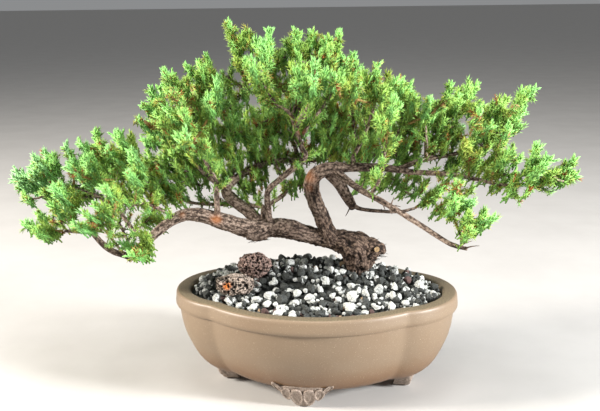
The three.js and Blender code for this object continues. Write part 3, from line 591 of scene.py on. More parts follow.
@dataclass
class Pot:
    """The pot: four arcs meet in four soft creases, and the wall is an inset of them at each height."""

    half_length: float = 110.0
    half_depth: float = 78.3
    front_arc_radius: float = 110.7
    end_arc_radius: float = 53.4
    steps_per_arc: tuple[int, int] = (66, 58)
    crease_softness: float = 0.7  # in steps along the outline
    drain_x: float = 36.0
    drain_radius: float = 11.0
    drill_depth: float = 40.0
    bare_above: float = 77.9  # the lip's clay is bare, and so is the inside from the floor up
    bare_inside_above: float = 16.5
    # [inset from the rim's outline, height]: base, bowl, groove under the collar, collar, rounded edge
    outer_wall: tuple[Pair, ...] = (
        (34, 12.2), (31, 12.8), (28, 14), (24.8, 15.9), (21.6, 18.4), (18.2, 21.8), (15.4, 25.6),
        (13, 29.6), (11, 33.6), (9, 38), (7.3, 42), (5.9, 46), (4.7, 50.5), (3.8, 55), (3.1, 60), (2.8, 64),
        (2.7, 65.5), (2.3, 66), (1.2, 66.2), (0.2, 66.7), (-0.3, 67.8), (-0.4, 69.6), (-0.1, 72),
        (0.1, 74.4), (0.3, 76), (0.8, 77.1), (1.7, 77.8), (2.8, 78),
    )  # fmt: skip
    # the flat lip, its soft inner edge, and the inside of the bowl down to the floor
    inner_wall: tuple[Pair, ...] = (
        (9.4, 78), (10.6, 77.6), (11.3, 76.6), (11.6, 72), (12, 58), (16, 43), (22.5, 25), (28, 19.5),
        (33, 17.5),
    )  # fmt: skip

    def outline(self, inset: float) -> np.ndarray:
        """The pot's outline, set in by a distance.

        Args:
            inset: The distance in from the rim's own outline.

        Returns:
            Its points, counter-clockwise from the front left crease, n by 2.
        """
        front = self.front_arc_radius - inset
        end = self.end_arc_radius - inset
        front_y = self.front_arc_radius - self.half_depth
        end_x = self.half_length - self.end_arc_radius
        apart = math.hypot(end_x, front_y)
        along = (front**2 - end**2 + apart**2) / (2 * apart)
        across = math.sqrt(front**2 - along**2)
        way_x, way_y = end_x / apart, -front_y / apart
        crease_x, crease_y = way_x * along + way_y * across, front_y + way_y * along - way_x * across
        front_arc = (front, math.asin(crease_x / front), self.steps_per_arc[0])
        end_arc = (end, math.atan2(-crease_y, crease_x - end_x), self.steps_per_arc[1])
        arcs = (
            (0, front_y, -math.pi / 2, *front_arc),
            (end_x, 0, 0, *end_arc),
            (0, -front_y, math.pi / 2, *front_arc),
            (-end_x, 0, math.pi, *end_arc),
        )
        points = []
        for centre_x, centre_y, middle, radius, sweep, steps in arcs:
            angles = middle - sweep + 2 * sweep * np.arange(steps) / steps
            arc = np.stack([centre_x + radius * np.cos(angles), centre_y + radius * np.sin(angles)], 1)
            points.append(arc)
        return self.softened(np.concatenate(points))

    def softened(self, outline: np.ndarray) -> np.ndarray:
        """Draws the creases out into soft hollows.

        Args:
            outline: Points all round the pot, n by 2.

        Returns:
            As many points.
        """
        reach = math.ceil(3 * self.crease_softness)
        offsets = np.arange(-reach, reach + 1)
        weights = np.exp(-((offsets / self.crease_softness) ** 2) / 2)
        shifted = [weight * np.roll(outline, offset, axis=0) for weight, offset in zip(weights, offsets)]
        return np.sum(shifted, axis=0) / weights.sum()

    def ring(self, inset: float, height: float) -> np.ndarray:
        """The outline set in by a distance, at a height, n by 3."""
        flat = self.outline(inset)
        return np.column_stack([flat, np.full(len(flat), height)])

    def bowl(self) -> Piece:
        """The bowl, with its collar, its lip and two drain holes.

        Returns:
            The bowl in its two kinds of clay.
        """
        rings = [self.ring(inset, height) for inset, height in (*self.outer_wall, *self.inner_wall)]
        bowl = loft("pot_body", rings)
        for x in (-self.drain_x, self.drain_x):
            deselect_all()
            middle = (x, 0, self.drill_depth / 4)
            bpy.ops.mesh.primitive_cylinder_add(
                vertices=48, radius=self.drain_radius, depth=self.drill_depth, location=middle
            )
            drill = start_piece("drain_drill")
            apply_modifier(bowl, "BOOLEAN", object=drill, operation="DIFFERENCE", solver="EXACT")
            bpy.data.objects.remove(drill)
        coat(bowl, STONEWARE, RIM_CLAY)
        for face in bowl.data.polygons:
            faces_in = face.normal.z > 0.9 or face.normal.xy.dot(face.center.xy) < 0
            bare_above = self.bare_inside_above if faces_in else self.bare_above
            face.material_index = int(face.center.z > bare_above)
        return bowl

    def build(self) -> Piece:
        """The whole pot, which replaces its CAD node.

        Returns:
            The pot on its four feet.
        """
        long_sides = CloudFoot(reach=49.5, lean=0.47, bend=80.0, offset=-3.5)
        ends = CloudFoot(reach=73.0, lean=0.4, bend=48.0)
        places = ((long_sides, 0.0), (long_sides, 180.0), (ends, 90.0), (ends, -90.0))
        feet = [foot.build(turn) for foot, turn in places]
        pot = join([self.bowl(), *feet], "clay_pot")
        smooth(pot, 38)
        return hand_over(pot, ["pot"])


@dataclass
class CloudFoot:
    """One carved foot: a scalloped cloud that leans out from its sole, with scrolls in relief."""

    reach: float  # from the pot's middle to the sole's outer edge
    lean: float  # how far it leans out for each millimetre up
    bend: float  # the radius that it is bent to, along the pot
    offset: float = 0.0  # along the pot, off its middle
    thickness: float = 12.0
    bevel: float = 1.1
    half_outline: tuple[Pair, ...] = (
        (0, 0), (3.0, 0.1), (5.0, 1.0), (6.8, 3.2), (7.6, 6.0), (8.4, 7.6), (9.2, 6.6), (10.6, 6.0),
        (12.6, 6.6), (14.0, 8.6), (15.0, 10.6), (17.2, 12.6), (19.6, 15.4), (22.0, 19.0), (22.6, 21.4),
        (20.6, 21.2), (17.6, 18.8), (14.5, 18.4), (13.0, 19.2),
    )  # fmt: skip
    # [x, z, half width, half height, tilt in degrees] of the scrolls carved on the face
    scrolls: tuple[tuple[float, float, float, float, float], ...] = (
        (4.6, 8.8, 5.0, 8.2, 7.0), (12.2, 11.8, 3.8, 6.0, 16.0), (18.8, 17.4, 2.2, 6.2, 46.0),
    )  # fmt: skip
    scroll_sides: int = 28
    # [share of a scroll's size, how far it stands out]: edge, raised rim, dished middle
    scroll_section: tuple[Pair, ...] = (
        (1.0, -3.0), (1.0, 0.0), (0.94, 0.8), (0.82, 1.1), (0.7, 0.9), (0.6, 0.4), (0.3, 0.5), (0.05, 0.7),
    )  # fmt: skip

    def scroll(
        self, x: float, z: float, half_width: float, half_height: float, tilt: float
    ) -> Piece:
        """One carved scroll on the flat foot's face: an egg with a raised rim, pointing down.

        Args:
            x: Its middle across the foot.
            z: Its middle's height.
            half_width: Half its width.
            half_height: Half its height.
            tilt: Degrees that its foot leans in.

        Returns:
            The scroll.
        """
        angles = 2 * math.pi * np.arange(self.scroll_sides) / self.scroll_sides
        lean = math.copysign(math.radians(tilt), x)
        rings = []
        for share, stand in self.scroll_section:
            down = share * half_height * np.sin(angles)
            across = share * half_width * np.cos(angles) * (1 + 0.22 * np.sin(angles))
            ring_x = x + across * math.cos(lean) + down * math.sin(lean)
            ring_z = z - across * math.sin(lean) + down * math.cos(lean)
            rings.append(np.column_stack([ring_x, np.full(self.scroll_sides, -stand), ring_z]))
        return loft("foot_scroll", rings)

    def bent(self, x: float, y: float, z: float) -> Point:
        """The place on the leaning, bent foot of a point of the flat one, whose face is at y = 0."""
        return x + self.offset, y - self.reach - self.lean * z + x**2 / (2 * self.bend), z

    def build(self, turn: float) -> Piece:
        """One foot.

        Args:
            turn: Degrees about the pot's middle from the front.

        Returns:
            The foot, in clay that is greyer than the bowl's.
        """
        half = list(self.half_outline)
        outline = [(-x, z) for x, z in reversed(half[1:])] + half
        face = np.array([(x, 0.0, z) for x, z in outline])
        inner = face + np.array([0, self.thickness, 0])
        slab = loft("foot_slab", [inner, face])
        apply_modifier(slab, "BEVEL", width=self.bevel, segments=3, limit_method="ANGLE")
        scrolls = [self.scroll(side * x, *rest) for x, *rest in self.scrolls for side in (-1, 1)]
        foot = join([slab, *scrolls], "cloud_foot")
        places = points_of(foot.data)
        place_points(foot.data, np.array([self.bent(*place) for place in places]))
        foot.data.transform(Matrix.Rotation(math.radians(turn), 4, "Z"))
        coat(foot, FOOT_CLAY)
        return foot


@dataclass
class DrainageScreens:
    """The squares of plastic net over the drain holes, which stay as the CAD nodes they are."""

    nodes: tuple[str, str] = ("drainage_screen_left", "drainage_screen_right")

    def build(self) -> None:
        """Gives both nets their black plastic."""
        for name in self.nodes:
            coat(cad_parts[name], NETTING)
            log.info("%s: black plastic net", name)


# ---- Gravel and lava rocks ----


@dataclass
class LavaRock:
    """A loose porous stone: lumps all over, with gas pits sunk into them."""

    node: str
    half: Point
    finish: Finish
    seed: float
    fineness: int = 6
    lump: float = 0.2  # a share of its size
    pit_size: float = 2.5
    pit_depth: float = 2.3
    stain: Point | None = None  # millimetres round the pot
    stain_reach: float = 3.4
    lump_size: float = 1.7  # lumps to the stone's half size

    def build(self) -> Piece:
        """The rock, which replaces its CAD node and fills that node's box.

        Returns:
            The rock.
        """
        low, high = (TO_FRAME.inverted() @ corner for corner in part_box(self.node))
        deselect_all()
        bpy.ops.mesh.primitive_ico_sphere_add(subdivisions=self.fineness, radius=1)
        rock = start_piece(self.node + "_stone")
        shift = Vector((self.seed, -self.seed, 2 * self.seed))
        places = points_of(rock.data)
        lumps = [noise.fractal(Vector(p) * self.lump_size + shift, 1.0, 2.0, 3) for p in places]
        places *= (1 + self.lump * np.array(lumps))[:, None]
        places *= np.array(self.half)
        place_points(rock.data, places)
        pits = np.array([self.pit(Vector(place) + shift * 10) for place in places])
        places = places - normals_of(rock.data) * (self.pit_depth * pits)[:, None]
        size = np.array(high - low)
        middle = (places.max(0) + places.min(0)) / 2
        places = (places - middle) * (size / np.ptp(places, axis=0)) + np.array((low + high) / 2)
        place_points(rock.data, places)
        # the pits' depth, which the finish paints as shade
        set_attribute(rock.data, "pit", np.clip(1.7 * pits, 0, 0.96))
        if self.stain:
            away = np.linalg.norm(places - np.array(self.stain), axis=1)
            set_attribute(rock.data, "stain", np.exp(-((away / self.stain_reach) ** 4)))
        coat(rock, self.finish)
        select_only(rock)
        bpy.ops.object.shade_smooth()
        return hand_over(rock, [self.node])

    def pit(self, place: Vector) -> float:
        """How deep the gas pits are at a place, large and fine ones together.

        Args:
            place: A place in the stone, in millimetres.

        Returns:
            0 where there is none, and up to 1.5.
        """
        near = noise.voronoi(place / self.pit_size)[0][0]
        fine = noise.voronoi(place / (0.5 * self.pit_size))[0][0]
        return max(0.0, 1 - near / 0.58) ** 0.6 + 0.5 * max(0.0, 1 - fine / 0.55) ** 0.6


class StoneKind(Enum):
    """The four kinds of stone in the mix: their share of it, and their finish."""

    PUMICE = (0.42, PUMICE)
    SCORIA = (0.54, SCORIA)
    BROWN = (0.03, BROWN_STONE)
    TAN = (0.01, TAN_STONE)


@dataclass
class Gravel:
    """The gravel mix: a dark bed heaped towards the tree, and loose stones on it."""

    pot: Pot
    edge_height: float = 73.5
    # the heap's middle, its rise over the edge, and its spread along and across the pot
    mound: tuple[float, float, float, float, float] = (-2.0, 14.0, 18.0, 84.0, 46.0)
    # [inset, height] of the bed's sides, and the shares of its outline that its top is drawn through
    bed_sides: tuple[Pair, ...] = (
        (33.3, 18.4), (28.4, 20.2), (23, 25.4), (16.5, 43), (12.5, 58), (12.2, 68),
    )  # fmt: skip
    bed_shares: tuple[float, ...] = (1, 0.93, 0.85, 0.75, 0.65, 0.55, 0.45, 0.35, 0.25, 0.15, 0.05)
    bed_depth: float = 4.2  # from the heap's nominal surface down to the bed
    wall_inset: float = 12.0
    rim_room: float = 2.4  # from the bed's edge in to the stones
    lowest: float = -3.2  # a CAD vertex that stands this far under the heap is not on its top
    peak: float = 1.8  # and one that stands this far over it is a stone's top
    # for such a peak and for the rest, the range of half sizes and how far the stone is lifted
    peak_seat: tuple[Pair, float] = ((2.8, 4.1), 0.2)
    other_seat: tuple[Pair, float] = ((2.1, 3.3), 1.2)
    filler_count: int = 1500
    filler_sizes: Pair = (1.3, 2.6)
    filler_lift: Pair = (-1.8, 1.6)
    shapes: int = 12
    facets: int = 12
    facet_depth: Pair = (0.5, 0.82)
    seed: int = 411

    def height(self, x: float, y: float) -> float:
        """The heap's height: nearly level on top, falling off evenly towards the rim.

        Args:
            x: A place along the pot.
            y: A place across it.

        Returns:
            The height there.
        """
        mound_x, mound_y, rise, spread_x, spread_y = self.mound
        reach = math.hypot((x - mound_x) / spread_x, (y - mound_y) / spread_y)
        return self.edge_height + rise * math.exp(-(reach**3))

    def bed(self) -> Piece:
        """The dark bed under the stones, from the pot's floor up.

        Returns:
            The bed.
        """
        rings = [self.pot.ring(inset, height) for inset, height in self.bed_sides]
        edge = self.pot.outline(self.wall_inset)
        for share in self.bed_shares:
            spread = edge * share
            heights = [self.height(x, y) - self.bed_depth for x, y in spread]
            rings.append(np.column_stack([spread, heights]))
        bed = loft("gravel_bed", rings)
        coat(bed, SCORIA)
        return bed

    def stone_shapes(self, random: Random) -> tuple[list[np.ndarray], np.ndarray]:
        """Models the stones once each: broken lumps with worn facets, of half size 1.

        Args:
            random: Gives each its form.

        Returns:
            Each shape's points, and the triangles that are the same for all of them.
        """
        forms = []
        for _ in range(self.shapes):
            deselect_all()
            bpy.ops.mesh.primitive_ico_sphere_add(subdivisions=2, radius=1)
            stone = start_piece("stone")
            places = points_of(stone.data)
            for _ in range(self.facets):
                normal = unit(random.normal(size=3))
                proud = np.maximum(places @ normal - random.uniform(*self.facet_depth), 0)
                places = places - 0.9 * proud[:, None] * normal
            forms.append(places * random.uniform(0.75, 1.3, 3))
            triangles = triangles_of(stone.data)
            bpy.data.objects.remove(stone)
        return forms, triangles

    def seats(self, random: Random) -> list[Row]:
        """Where the stones lie: one under each vertex of the CAD heap's top, and small ones between.

        Args:
            random: Sizes them, and scatters the small ones.

        Returns:
            The middle and the half size of each.
        """
        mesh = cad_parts["gravel"].data.copy()
        mesh.transform(TO_FRAME.inverted())
        tops = np.unique(np.round(points_of(mesh), 2), axis=0)
        bpy.data.meshes.remove(mesh)
        reach = self.pot.outline(self.wall_inset + self.rim_room)
        seats = []
        for x, y, z in tops:
            over = z - self.height(x, y)
            if over >= self.lowest and inside(reach, x, y):
                sizes, lift = self.peak_seat if over > self.peak else self.other_seat
                size = random.uniform(*sizes)
                seats.append((x, y, z + lift - 0.8 * size, size))
        for _ in range(self.filler_count):
            x, y = random.uniform(-1, 1, 2) * (self.pot.half_length, self.pot.half_depth)
            if inside(reach, x, y):
                z = self.height(x, y) + random.uniform(*self.filler_lift)
                seats.append((x, y, z, random.uniform(*self.filler_sizes)))
        return seats

    def build(self) -> Piece:
        """The whole filling, which replaces its CAD node.

        Returns:
            The bed and its stones as one piece.
        """
        random = np.random.default_rng(self.seed)
        forms, triangles = self.stone_shapes(random)
        seats = self.seats(random)
        shares, finishes = zip(*[kind.value for kind in StoneKind])
        points, faces, marks = [], [], []
        for *seat, size in seats:
            form = forms[random.integers(len(forms))]
            turn = np.array(Matrix.Rotation(random.uniform(0, 2 * math.pi), 3, "Z"))
            tip = np.array(Matrix.Rotation(random.uniform(-0.5, 0.5), 3, "X"))
            faces.append(triangles + len(form) * len(points))
            points.append(form * size @ tip.T @ turn.T + np.array(seat))
            marks.append(np.full(len(triangles), random.choice(len(shares), p=shares)))
        stones = mesh_piece("gravel_stones", np.concatenate(points), np.concatenate(faces))
        coat(stones, *finishes)
        stones.data.polygons.foreach_set("material_index", np.concatenate(marks).astype(np.int32))
        smooth(stones, 27)
        gravel = join([self.bed(), stones], "gravel_mix")
        return hand_over(gravel, ["gravel"])


def inside(outline: np.ndarray, x: float, y: float) -> bool:
    """Whether a point lies inside a closed outline.

    Args:
        outline: The outline's points, n by 2.
        x: The point's first coordinate.
        y: Its second.

    Returns:
        True if it does.
    """
    after = np.roll(outline, -1, axis=0)
    crosses = (outline[:, 1] > y) != (after[:, 1] > y)
    share = (y - outline[:, 1]) / np.where(crosses, after[:, 1] - outline[:, 1], 1)
    return bool(np.sum(crosses & (x < outline[:, 0] + share * (after[:, 0] - outline[:, 0]))) % 2)


def mesh_piece(name: str, points: np.ndarray, faces: np.ndarray) -> Piece:
    """An object made of copied shapes.

    Args:
        name: Its name.
        points: All the copies' points, n by 3.
        faces: Their triangles, m by 3, as numbers of points.

    Returns:
        The new object, in the scene.
    """
    mesh = bpy.data.meshes.new(name)
    mesh.vertices.add(len(points))
    mesh.loops.add(3 * len(faces))
    mesh.polygons.add(len(faces))
    mesh.vertices.foreach_set("co", points.astype(np.float32).ravel())
    mesh.loops.foreach_set("vertex_index", faces.astype(np.int32).ravel())
    mesh.polygons.foreach_set("loop_start", np.arange(0, 3 * len(faces), 3, dtype=np.int32))
    mesh.update(calc_edges=True)
    mesh.validate()
    piece = bpy.data.objects.new(name, mesh)
    bpy.context.scene.collection.objects.link(piece)
    return piece


# ---- Wood ----

# each limb is a chain of rows, and starts inside the limb that it grows from
LIMBS: dict[str, list[Row]] = {
    "stump": [
        (29, 9, 56, 6.5), (30, 9, 68, 7.2), (32, 9, 80, 7.8), (33, 8.5, 90, 8.8), (34, 8, 99.5, 11.8),
        (32, 8, 108, 12.5), (21, 8, 113, 9), (8, 7, 115.5, 6.8), (-6, 5, 119, 6.7), (-20, 3, 123.5, 7.7),
        (-33, 1, 125, 7.2), (-47, -4, 124.5, 7.2), (-60, -8, 128.5, 6.6), (-74, -12, 134, 6),
        (-87, -15, 138, 5.3), (-99, -17, 138, 4.6), (-111, -19, 131.5, 3.9), (-123, -22, 122, 3.6),
        (-133, -24, 113, 3.2), (-142, -26, 105, 3.6),
    ],
    "cut_stub": [(34, 8, 101, 11), (43, 6.6, 108, 8.8), (50, 6, 108.6, 5.4), (54, 6, 105.4, 1.8)],
    "knuckle": [(-38, -5, 123, 6.4), (-45, -9, 122.3, 5.6), (-51, -12, 122.5, 4)],
    "second_trunk": [
        (13, 7, 113, 7.8), (8, 5, 125, 6.4), (4, 3, 137, 5.9), (0, 1, 147, 5.8), (-2, 0, 157, 5.9),
        (0, -2, 166, 5.6), (8, -4, 172, 5), (17, -5, 174, 4.2), (27, -5, 174.5, 3.5), (50, -2, 174, 3),
        (66, 0, 172, 2.6),
    ],
    "left_tip": [
        (-141, -26, 107, 2.8), (-151, -29, 111, 2.4), (-159, -32, 118, 2.3), (-166, -36, 128, 1.9),
        (-175, -38, 129, 1.6), (-185, -41, 130, 1.2),
    ],
    "left_riser": [
        (-125, -22, 121, 2.1), (-134, -20, 123, 1.9), (-142, -18, 130, 1.7), (-155, -14, 150, 1.4),
        (-152, -11, 168, 1.1), (-146, -12, 180, 0.9),
    ],
    "left_far": [
        (-152, -15, 144, 1.4), (-166, -12, 150, 1.3), (-182, -8, 155, 1.2), (-210, -6, 160, 0.9),
    ],
    "left_far_rear": [(-168, -12, 150.5, 1.2), (-182, 2, 147, 1.1), (-210, 20, 141, 0.9)],
    "left_inner": [
        (-104, -18, 136, 1.6), (-113, -26, 144, 1.4), (-121, -36, 151, 1.2), (-127, -50, 153, 1),
    ],
    "knuckle_twig": [(-143, -28, 108, 1.4), (-147, -36, 119, 1.1), (-150, -44, 130, 0.9)],
    "knuckle_rear": [
        (-138, -24, 110, 1.4), (-148, -10, 118, 1.2), (-160, 8, 126, 1), (-176, 24, 133, 0.9),
    ],
    "upright": [
        (-73, -13, 137, 2.4), (-72, -18, 152, 2.1), (-71, -22, 164, 1.9), (-74, -29, 176, 1.6),
        (-79, -37, 192, 1.3), (-84, -42, 207, 1.1),
    ],
    "middle_limb": [
        (-41, 1, 127, 5), (-50, 6, 134, 4.7), (-69, 14, 146, 4.7), (-72, 19, 152, 4), (-64, 25, 160, 3.1),
        (-47, 38, 168, 2.6), (-33, 45, 170, 2.3), (-18, 52, 169, 2), (-3, 60, 168, 1.6),
    ],
    "middle_left": [
        (-72, 18, 151, 2.6), (-83, 22, 157, 2.2), (-94, 27, 164, 1.9), (-104, 28, 176, 1.6),
        (-110, 20, 190, 1.3), (-112, 8, 206, 1.1),
    ],
    "left_high_rear": [(-94, 27, 164, 1.7), (-104, 36, 172, 1.4), (-118, 46, 178, 1.1)],
    "high_left": [(-102, 28, 174, 1.5), (-96, 20, 190, 1.4), (-92, 8, 206, 1.3), (-92, -8, 222, 1.1)],
    "rear_left": [
        (-41, 4, 141, 1.9), (-67, 22, 138, 1.7), (-104, 34, 136, 1.3), (-130, 32, 146, 1.1),
        (-150, 28, 152, 0.9),
    ],
    "rear_left_bud": [(-41, 1, 129, 2.4), (-40, 4, 142, 1.9)],
    "crown_limb": [
        (-35, 0, 127, 2.8), (-35, -8, 149, 2.4), (-33, -11, 158, 2.3), (-20, -16, 170, 2.2),
        (-4, -24, 185, 2), (-6, -26, 193, 1.9), (-10, -27, 207, 1.7), (-14, -25, 217, 1.5),
        (-25, -21, 224, 1.4), (-56, -9, 237, 1.1), (-64, -8, 243, 1),
    ],
    "leader": [(-49, -12, 234, 1.2), (-51, -12, 245, 1.1), (-54, -11, 258, 0.9)],
    "crown_top": [(-13, -26, 214, 1.4), (-9, -21, 226, 1.3), (-5, -18, 240, 1.1), (-2, -17, 254, 0.9)],
    "crown_right": [(-8, -26, 198, 1.6), (-1, -22, 208, 1.4), (8, -14, 220, 1.3), (15, -6, 232, 1.1)],
    "crown_front": [(-10, -27, 205, 1.4), (-5, -36, 215, 1.3), (3, -45, 226, 1.1)],
    "crown_left": [(-24, -21, 223.5, 1.3), (-29, -30, 232, 1.1), (-30, -38, 238, 0.9)],
    "loop_twig": [
        (-34, -6, 145, 1.9), (-24, 6, 151, 1.7), (-24, 12, 157, 1.6), (-30, 20, 166, 1.4),
        (-36, 26, 178, 1.1),
    ],
    "rear_crown": [
        (-18, 52, 169, 1.9), (-22, 58, 178, 1.7), (-26, 62, 190, 1.5), (-24, 63, 206, 1.3),
        (-18, 62, 218, 1.1),
    ],
    "rear_centre": [(-47, 38, 168, 2), (-54, 46, 176, 1.7), (-61, 54, 185, 1.3)],
    "rear_right": [
        (22, -5, 174, 2.6), (27, 14, 174.5, 2.2), (30, 32, 176, 1.9), (32, 50, 179, 1.6),
        (32, 66, 184, 1.3), (32, 76, 190, 1.1),
    ],
    "rear_right_high": [(30, 34, 176, 1.6), (28, 40, 192, 1.4), (26, 43, 212, 1.1)],
    "fan_stem": [
        (28, -5, 174, 2), (31, -8, 184, 1.7), (36, -12, 194, 1.5), (42, -17, 208, 1.3), (47, -20, 224, 1),
    ],
    "mid_top": [(49, -2, 174, 1.8), (55, 2, 184, 1.6), (62, -2, 198, 1.3), (66, -6, 212, 1)],
    "right_upper": [
        (64, 0, 172.5, 2.3), (75, 1, 177, 2), (85, 3, 180, 1.9), (107, 6, 184, 1.5), (122, 6, 192, 1.2),
        (136, 6, 204, 1), (146, 8, 215, 0.9),
    ],
    "right_lower": [
        (64, 0, 172, 2.4), (77, -4, 171, 2.1), (99, -14, 172, 1.8), (120, -22, 170, 1.5),
        (141, -28, 167, 1.2), (154, -32, 169, 1), (166, -34, 172, 0.9),
    ],
    "right_rear": [(85, 3, 180, 1.8), (92, 16, 186, 1.5), (99, 30, 195, 1.3), (107, 42, 205, 1.1)],
    "right_top": [(84, 3, 180, 1.6), (84, 0, 192, 1.4), (83, -4, 206, 1.1)],
    "sweeper": [
        (17, -6, 172, 2.8), (35, -18, 161, 2.4), (57, -30, 152, 2.1), (78, -42, 142, 1.9),
        (98, -54, 132, 1.7), (106, -58, 129.5, 1.6), (113, -60, 128.5, 1.4),
    ],
    "sweeper_shoot": [(109, -59, 129, 1.3), (109, -60, 136, 1.1), (106, -59, 143, 0.9)],
    "cross_twig": [(44, -23, 157, 1.6), (50, -32, 168, 1.3), (54, -40, 182, 1.1), (56, -44, 198, 0.9)],
    "broken_elbow": [(12, -2, 169, 4.6), (19, 4, 160, 4.4), (24, 10, 149, 4.1), (29, 14, 139, 3)],
    "elbow_twig": [(27, 12, 144, 2.2), (35, 18, 137, 1.6), (62, 32, 132, 1.3), (76, 40, 133, 1.1)],
}  # fmt: skip


@dataclass
class Wood:
    """The trunk and all its branches, grown as one piece, with old furrowed bark on the thick ones."""

    old_above: float = 5.0  # limbs with a greater radius get the finest rings, and shreds of bark
    thick_above: float = 2.6
    # for old, thick and thin limbs, the step between two rings and the bevel's resolution
    meshes: tuple[tuple[float, int], ...] = ((0.8, 24), (1.3, 9), (2.6, 2))
    names: tuple[str, ...] = ("old_wood", "thick_limbs", "thin_limbs")
    furrow: float = 0.3  # the furrows' depth, as a share of the radius
    furrow_width: float = 2.2
    strip_stretch: float = 0.2  # a furrow's width over its length
    flake_stretch: float = 0.6
    furrow_radius: float = 8.5  # furrows don't grow deeper on thicker limbs than this
    apart: float = 53.0  # from limb to limb in the bark's grain, so that no two are alike
    shreds: int = 220
    shreds_above: float = 84.0  # the gravel's height at the stump
    shreds_on: float = 4.5  # the least radius that carries them
    # the range of a shred's length and of its lift, near the stump's foot and elsewhere
    stump_shred: tuple[Pair, ...] = ((4, 9), (0.4, 1.9))
    other_shred: tuple[Pair, ...] = ((3, 7), (0.3, 1.2))
    shred_radius: Pair = (0.2, 0.42)
    stump_reach: float = 30.0
    stubs_above: float = 100.0
    stubs_on: float = 6.5  # the greatest radius that carries them
    stub_pitch: int = 9  # in rows of a route
    stub_length: Pair = (3.0, 9.0)
    stump_foot: Point = (33.0, 8.0, 100.0)
    dark_reach: float = 24.0  # the bark is dark this far from the stump's foot
    pale_over: float = 75.0  # and then pales over this much more
    drift_size: float = 14.0
    rough_reach: float = 34.0
    swell_size: float = 8.0
    # places and reaches of the orange scars in the bark
    scars: tuple[Row, ...] = (
        (-73, -19, 136, 4.2), (-1, -5, 166, 5), (-3, -6, 158, 3), (-6, -27, 205, 3), (-99, -22, 139, 2.6),
    )  # fmt: skip
    # the sawn knot on the stump: where it starts and ends, and its radius
    knot: tuple[Point, Point, float] = ((45.2, 5.0, 109.6), (48.2, -2.9, 110.4), 2.1)
    bare: tuple[str, ...] = ("sweeper", "elbow_twig", "left_tip")  # thin limbs without side twigs
    seed: int = 58
    leafy_routes: list[np.ndarray] = field(default_factory=list)

    def route(self, points: Sequence[Row], step: float) -> np.ndarray:
        """A limb's centres and radii on a smooth curve through its points.

        Args:
            points: [x, y, z, radius] of each point.
            step: The distance between two rings.

        Returns:
            Rows of x, y, z, radius.
        """
        knots = np.array([points[0], *points, points[-1]], float)
        knots[0] = 2 * knots[1] - knots[2]
        knots[-1] = 2 * knots[-2] - knots[-3]
        rows = []
        for index in range(1, len(knots) - 2):
            a, b, c, d = knots[index - 1 : index + 3]
            steps = max(2, math.ceil(np.linalg.norm((c - b)[:3]) / step))
            square, cube = 2 * a - 5 * b + 4 * c - d, 3 * b - a - 3 * c + d
            for t in np.arange(steps) / steps:
                rows.append((2 * b + (c - a) * t + square * t**2 + cube * t**3) / 2)
        rows.append(knots[-2])
        return np.array(rows)

    def tubes(self, name: str, routes: Sequence[np.ndarray], sides: int) -> Piece:
        """Models limbs as bevelled curves and turns them into a mesh.

        Each vertex gets the attribute "grain": its place round and along its limb, in millimetres.

        Args:
            name: The object's name.
            routes: Each limb's rows of x, y, z, radius.
            sides: The bevel's resolution.

        Returns:
            The mesh object.
        """
        deselect_all()
        bpy.ops.curve.primitive_nurbs_path_add()
        tube = start_piece(name)
        tube.data.splines.clear()
        for route in routes:
            spline = tube.data.splines.new("POLY")
            spline.points.add(len(route) - 1)
            for point, (x, y, z, radius) in zip(spline.points, route):
                point.co = (x, y, z, 1)
                point.radius = radius
        tube.data.dimensions = "3D"
        tube.data.bevel_depth = 1.0
        tube.data.bevel_resolution = sides
        tube.data.use_fill_caps = False
        bpy.ops.object.convert(target="MESH")
        tube = start_piece(name)
        corners = 2 * sides + 4
        angles = 2 * math.pi * np.arange(corners) / corners
        grain = []
        for number, route in enumerate(routes):
            for distance, radius in zip(distances_along(route) + self.apart * number, route[:, 3]):
                reach = max(radius, 1.0)
                ring = [reach * np.cos(angles), reach * np.sin(angles), np.full(corners, distance)]
                grain.append(np.stack(ring, 1))
        set_attribute(tube.data, "grain", np.concatenate(grain))
        set_attribute(tube.data, "girth", np.repeat(np.concatenate([r[:, 3] for r in routes]), corners))
        self.mark_age(tube)
        bpy.ops.object.mode_set(mode="EDIT")
        bpy.ops.mesh.select_all(action="SELECT")
        bpy.ops.mesh.fill_holes(sides=0)
        face_out()
        return tube

    def mark_age(self, tube: Piece) -> None:
        """Writes how pale the bark is, dark on the stump, and where it is scarred.

        Args:
            tube: The mesh object that gets the attributes "paleness" and "scar".
        """
        places = points_of(tube.data)
        away = np.linalg.norm(places - np.array(self.stump_foot), axis=1)
        drift = np.array([noise.noise(Vector(place) / self.drift_size) for place in places])
        pale = (away - self.dark_reach) / self.pale_over + 0.5 * drift
        set_attribute(tube.data, "paleness", np.clip(pale, 0.02, 0.85))
        scar = np.zeros(len(places))
        for x, y, z, reach in self.scars:
            near = np.linalg.norm(places - np.array([x, y, z]), axis=1) / reach
            scar = np.maximum(scar, 0.85 * np.exp(-(near**3)) * (0.6 + drift))
        set_attribute(tube.data, "scar", np.clip(scar, 0, 1))

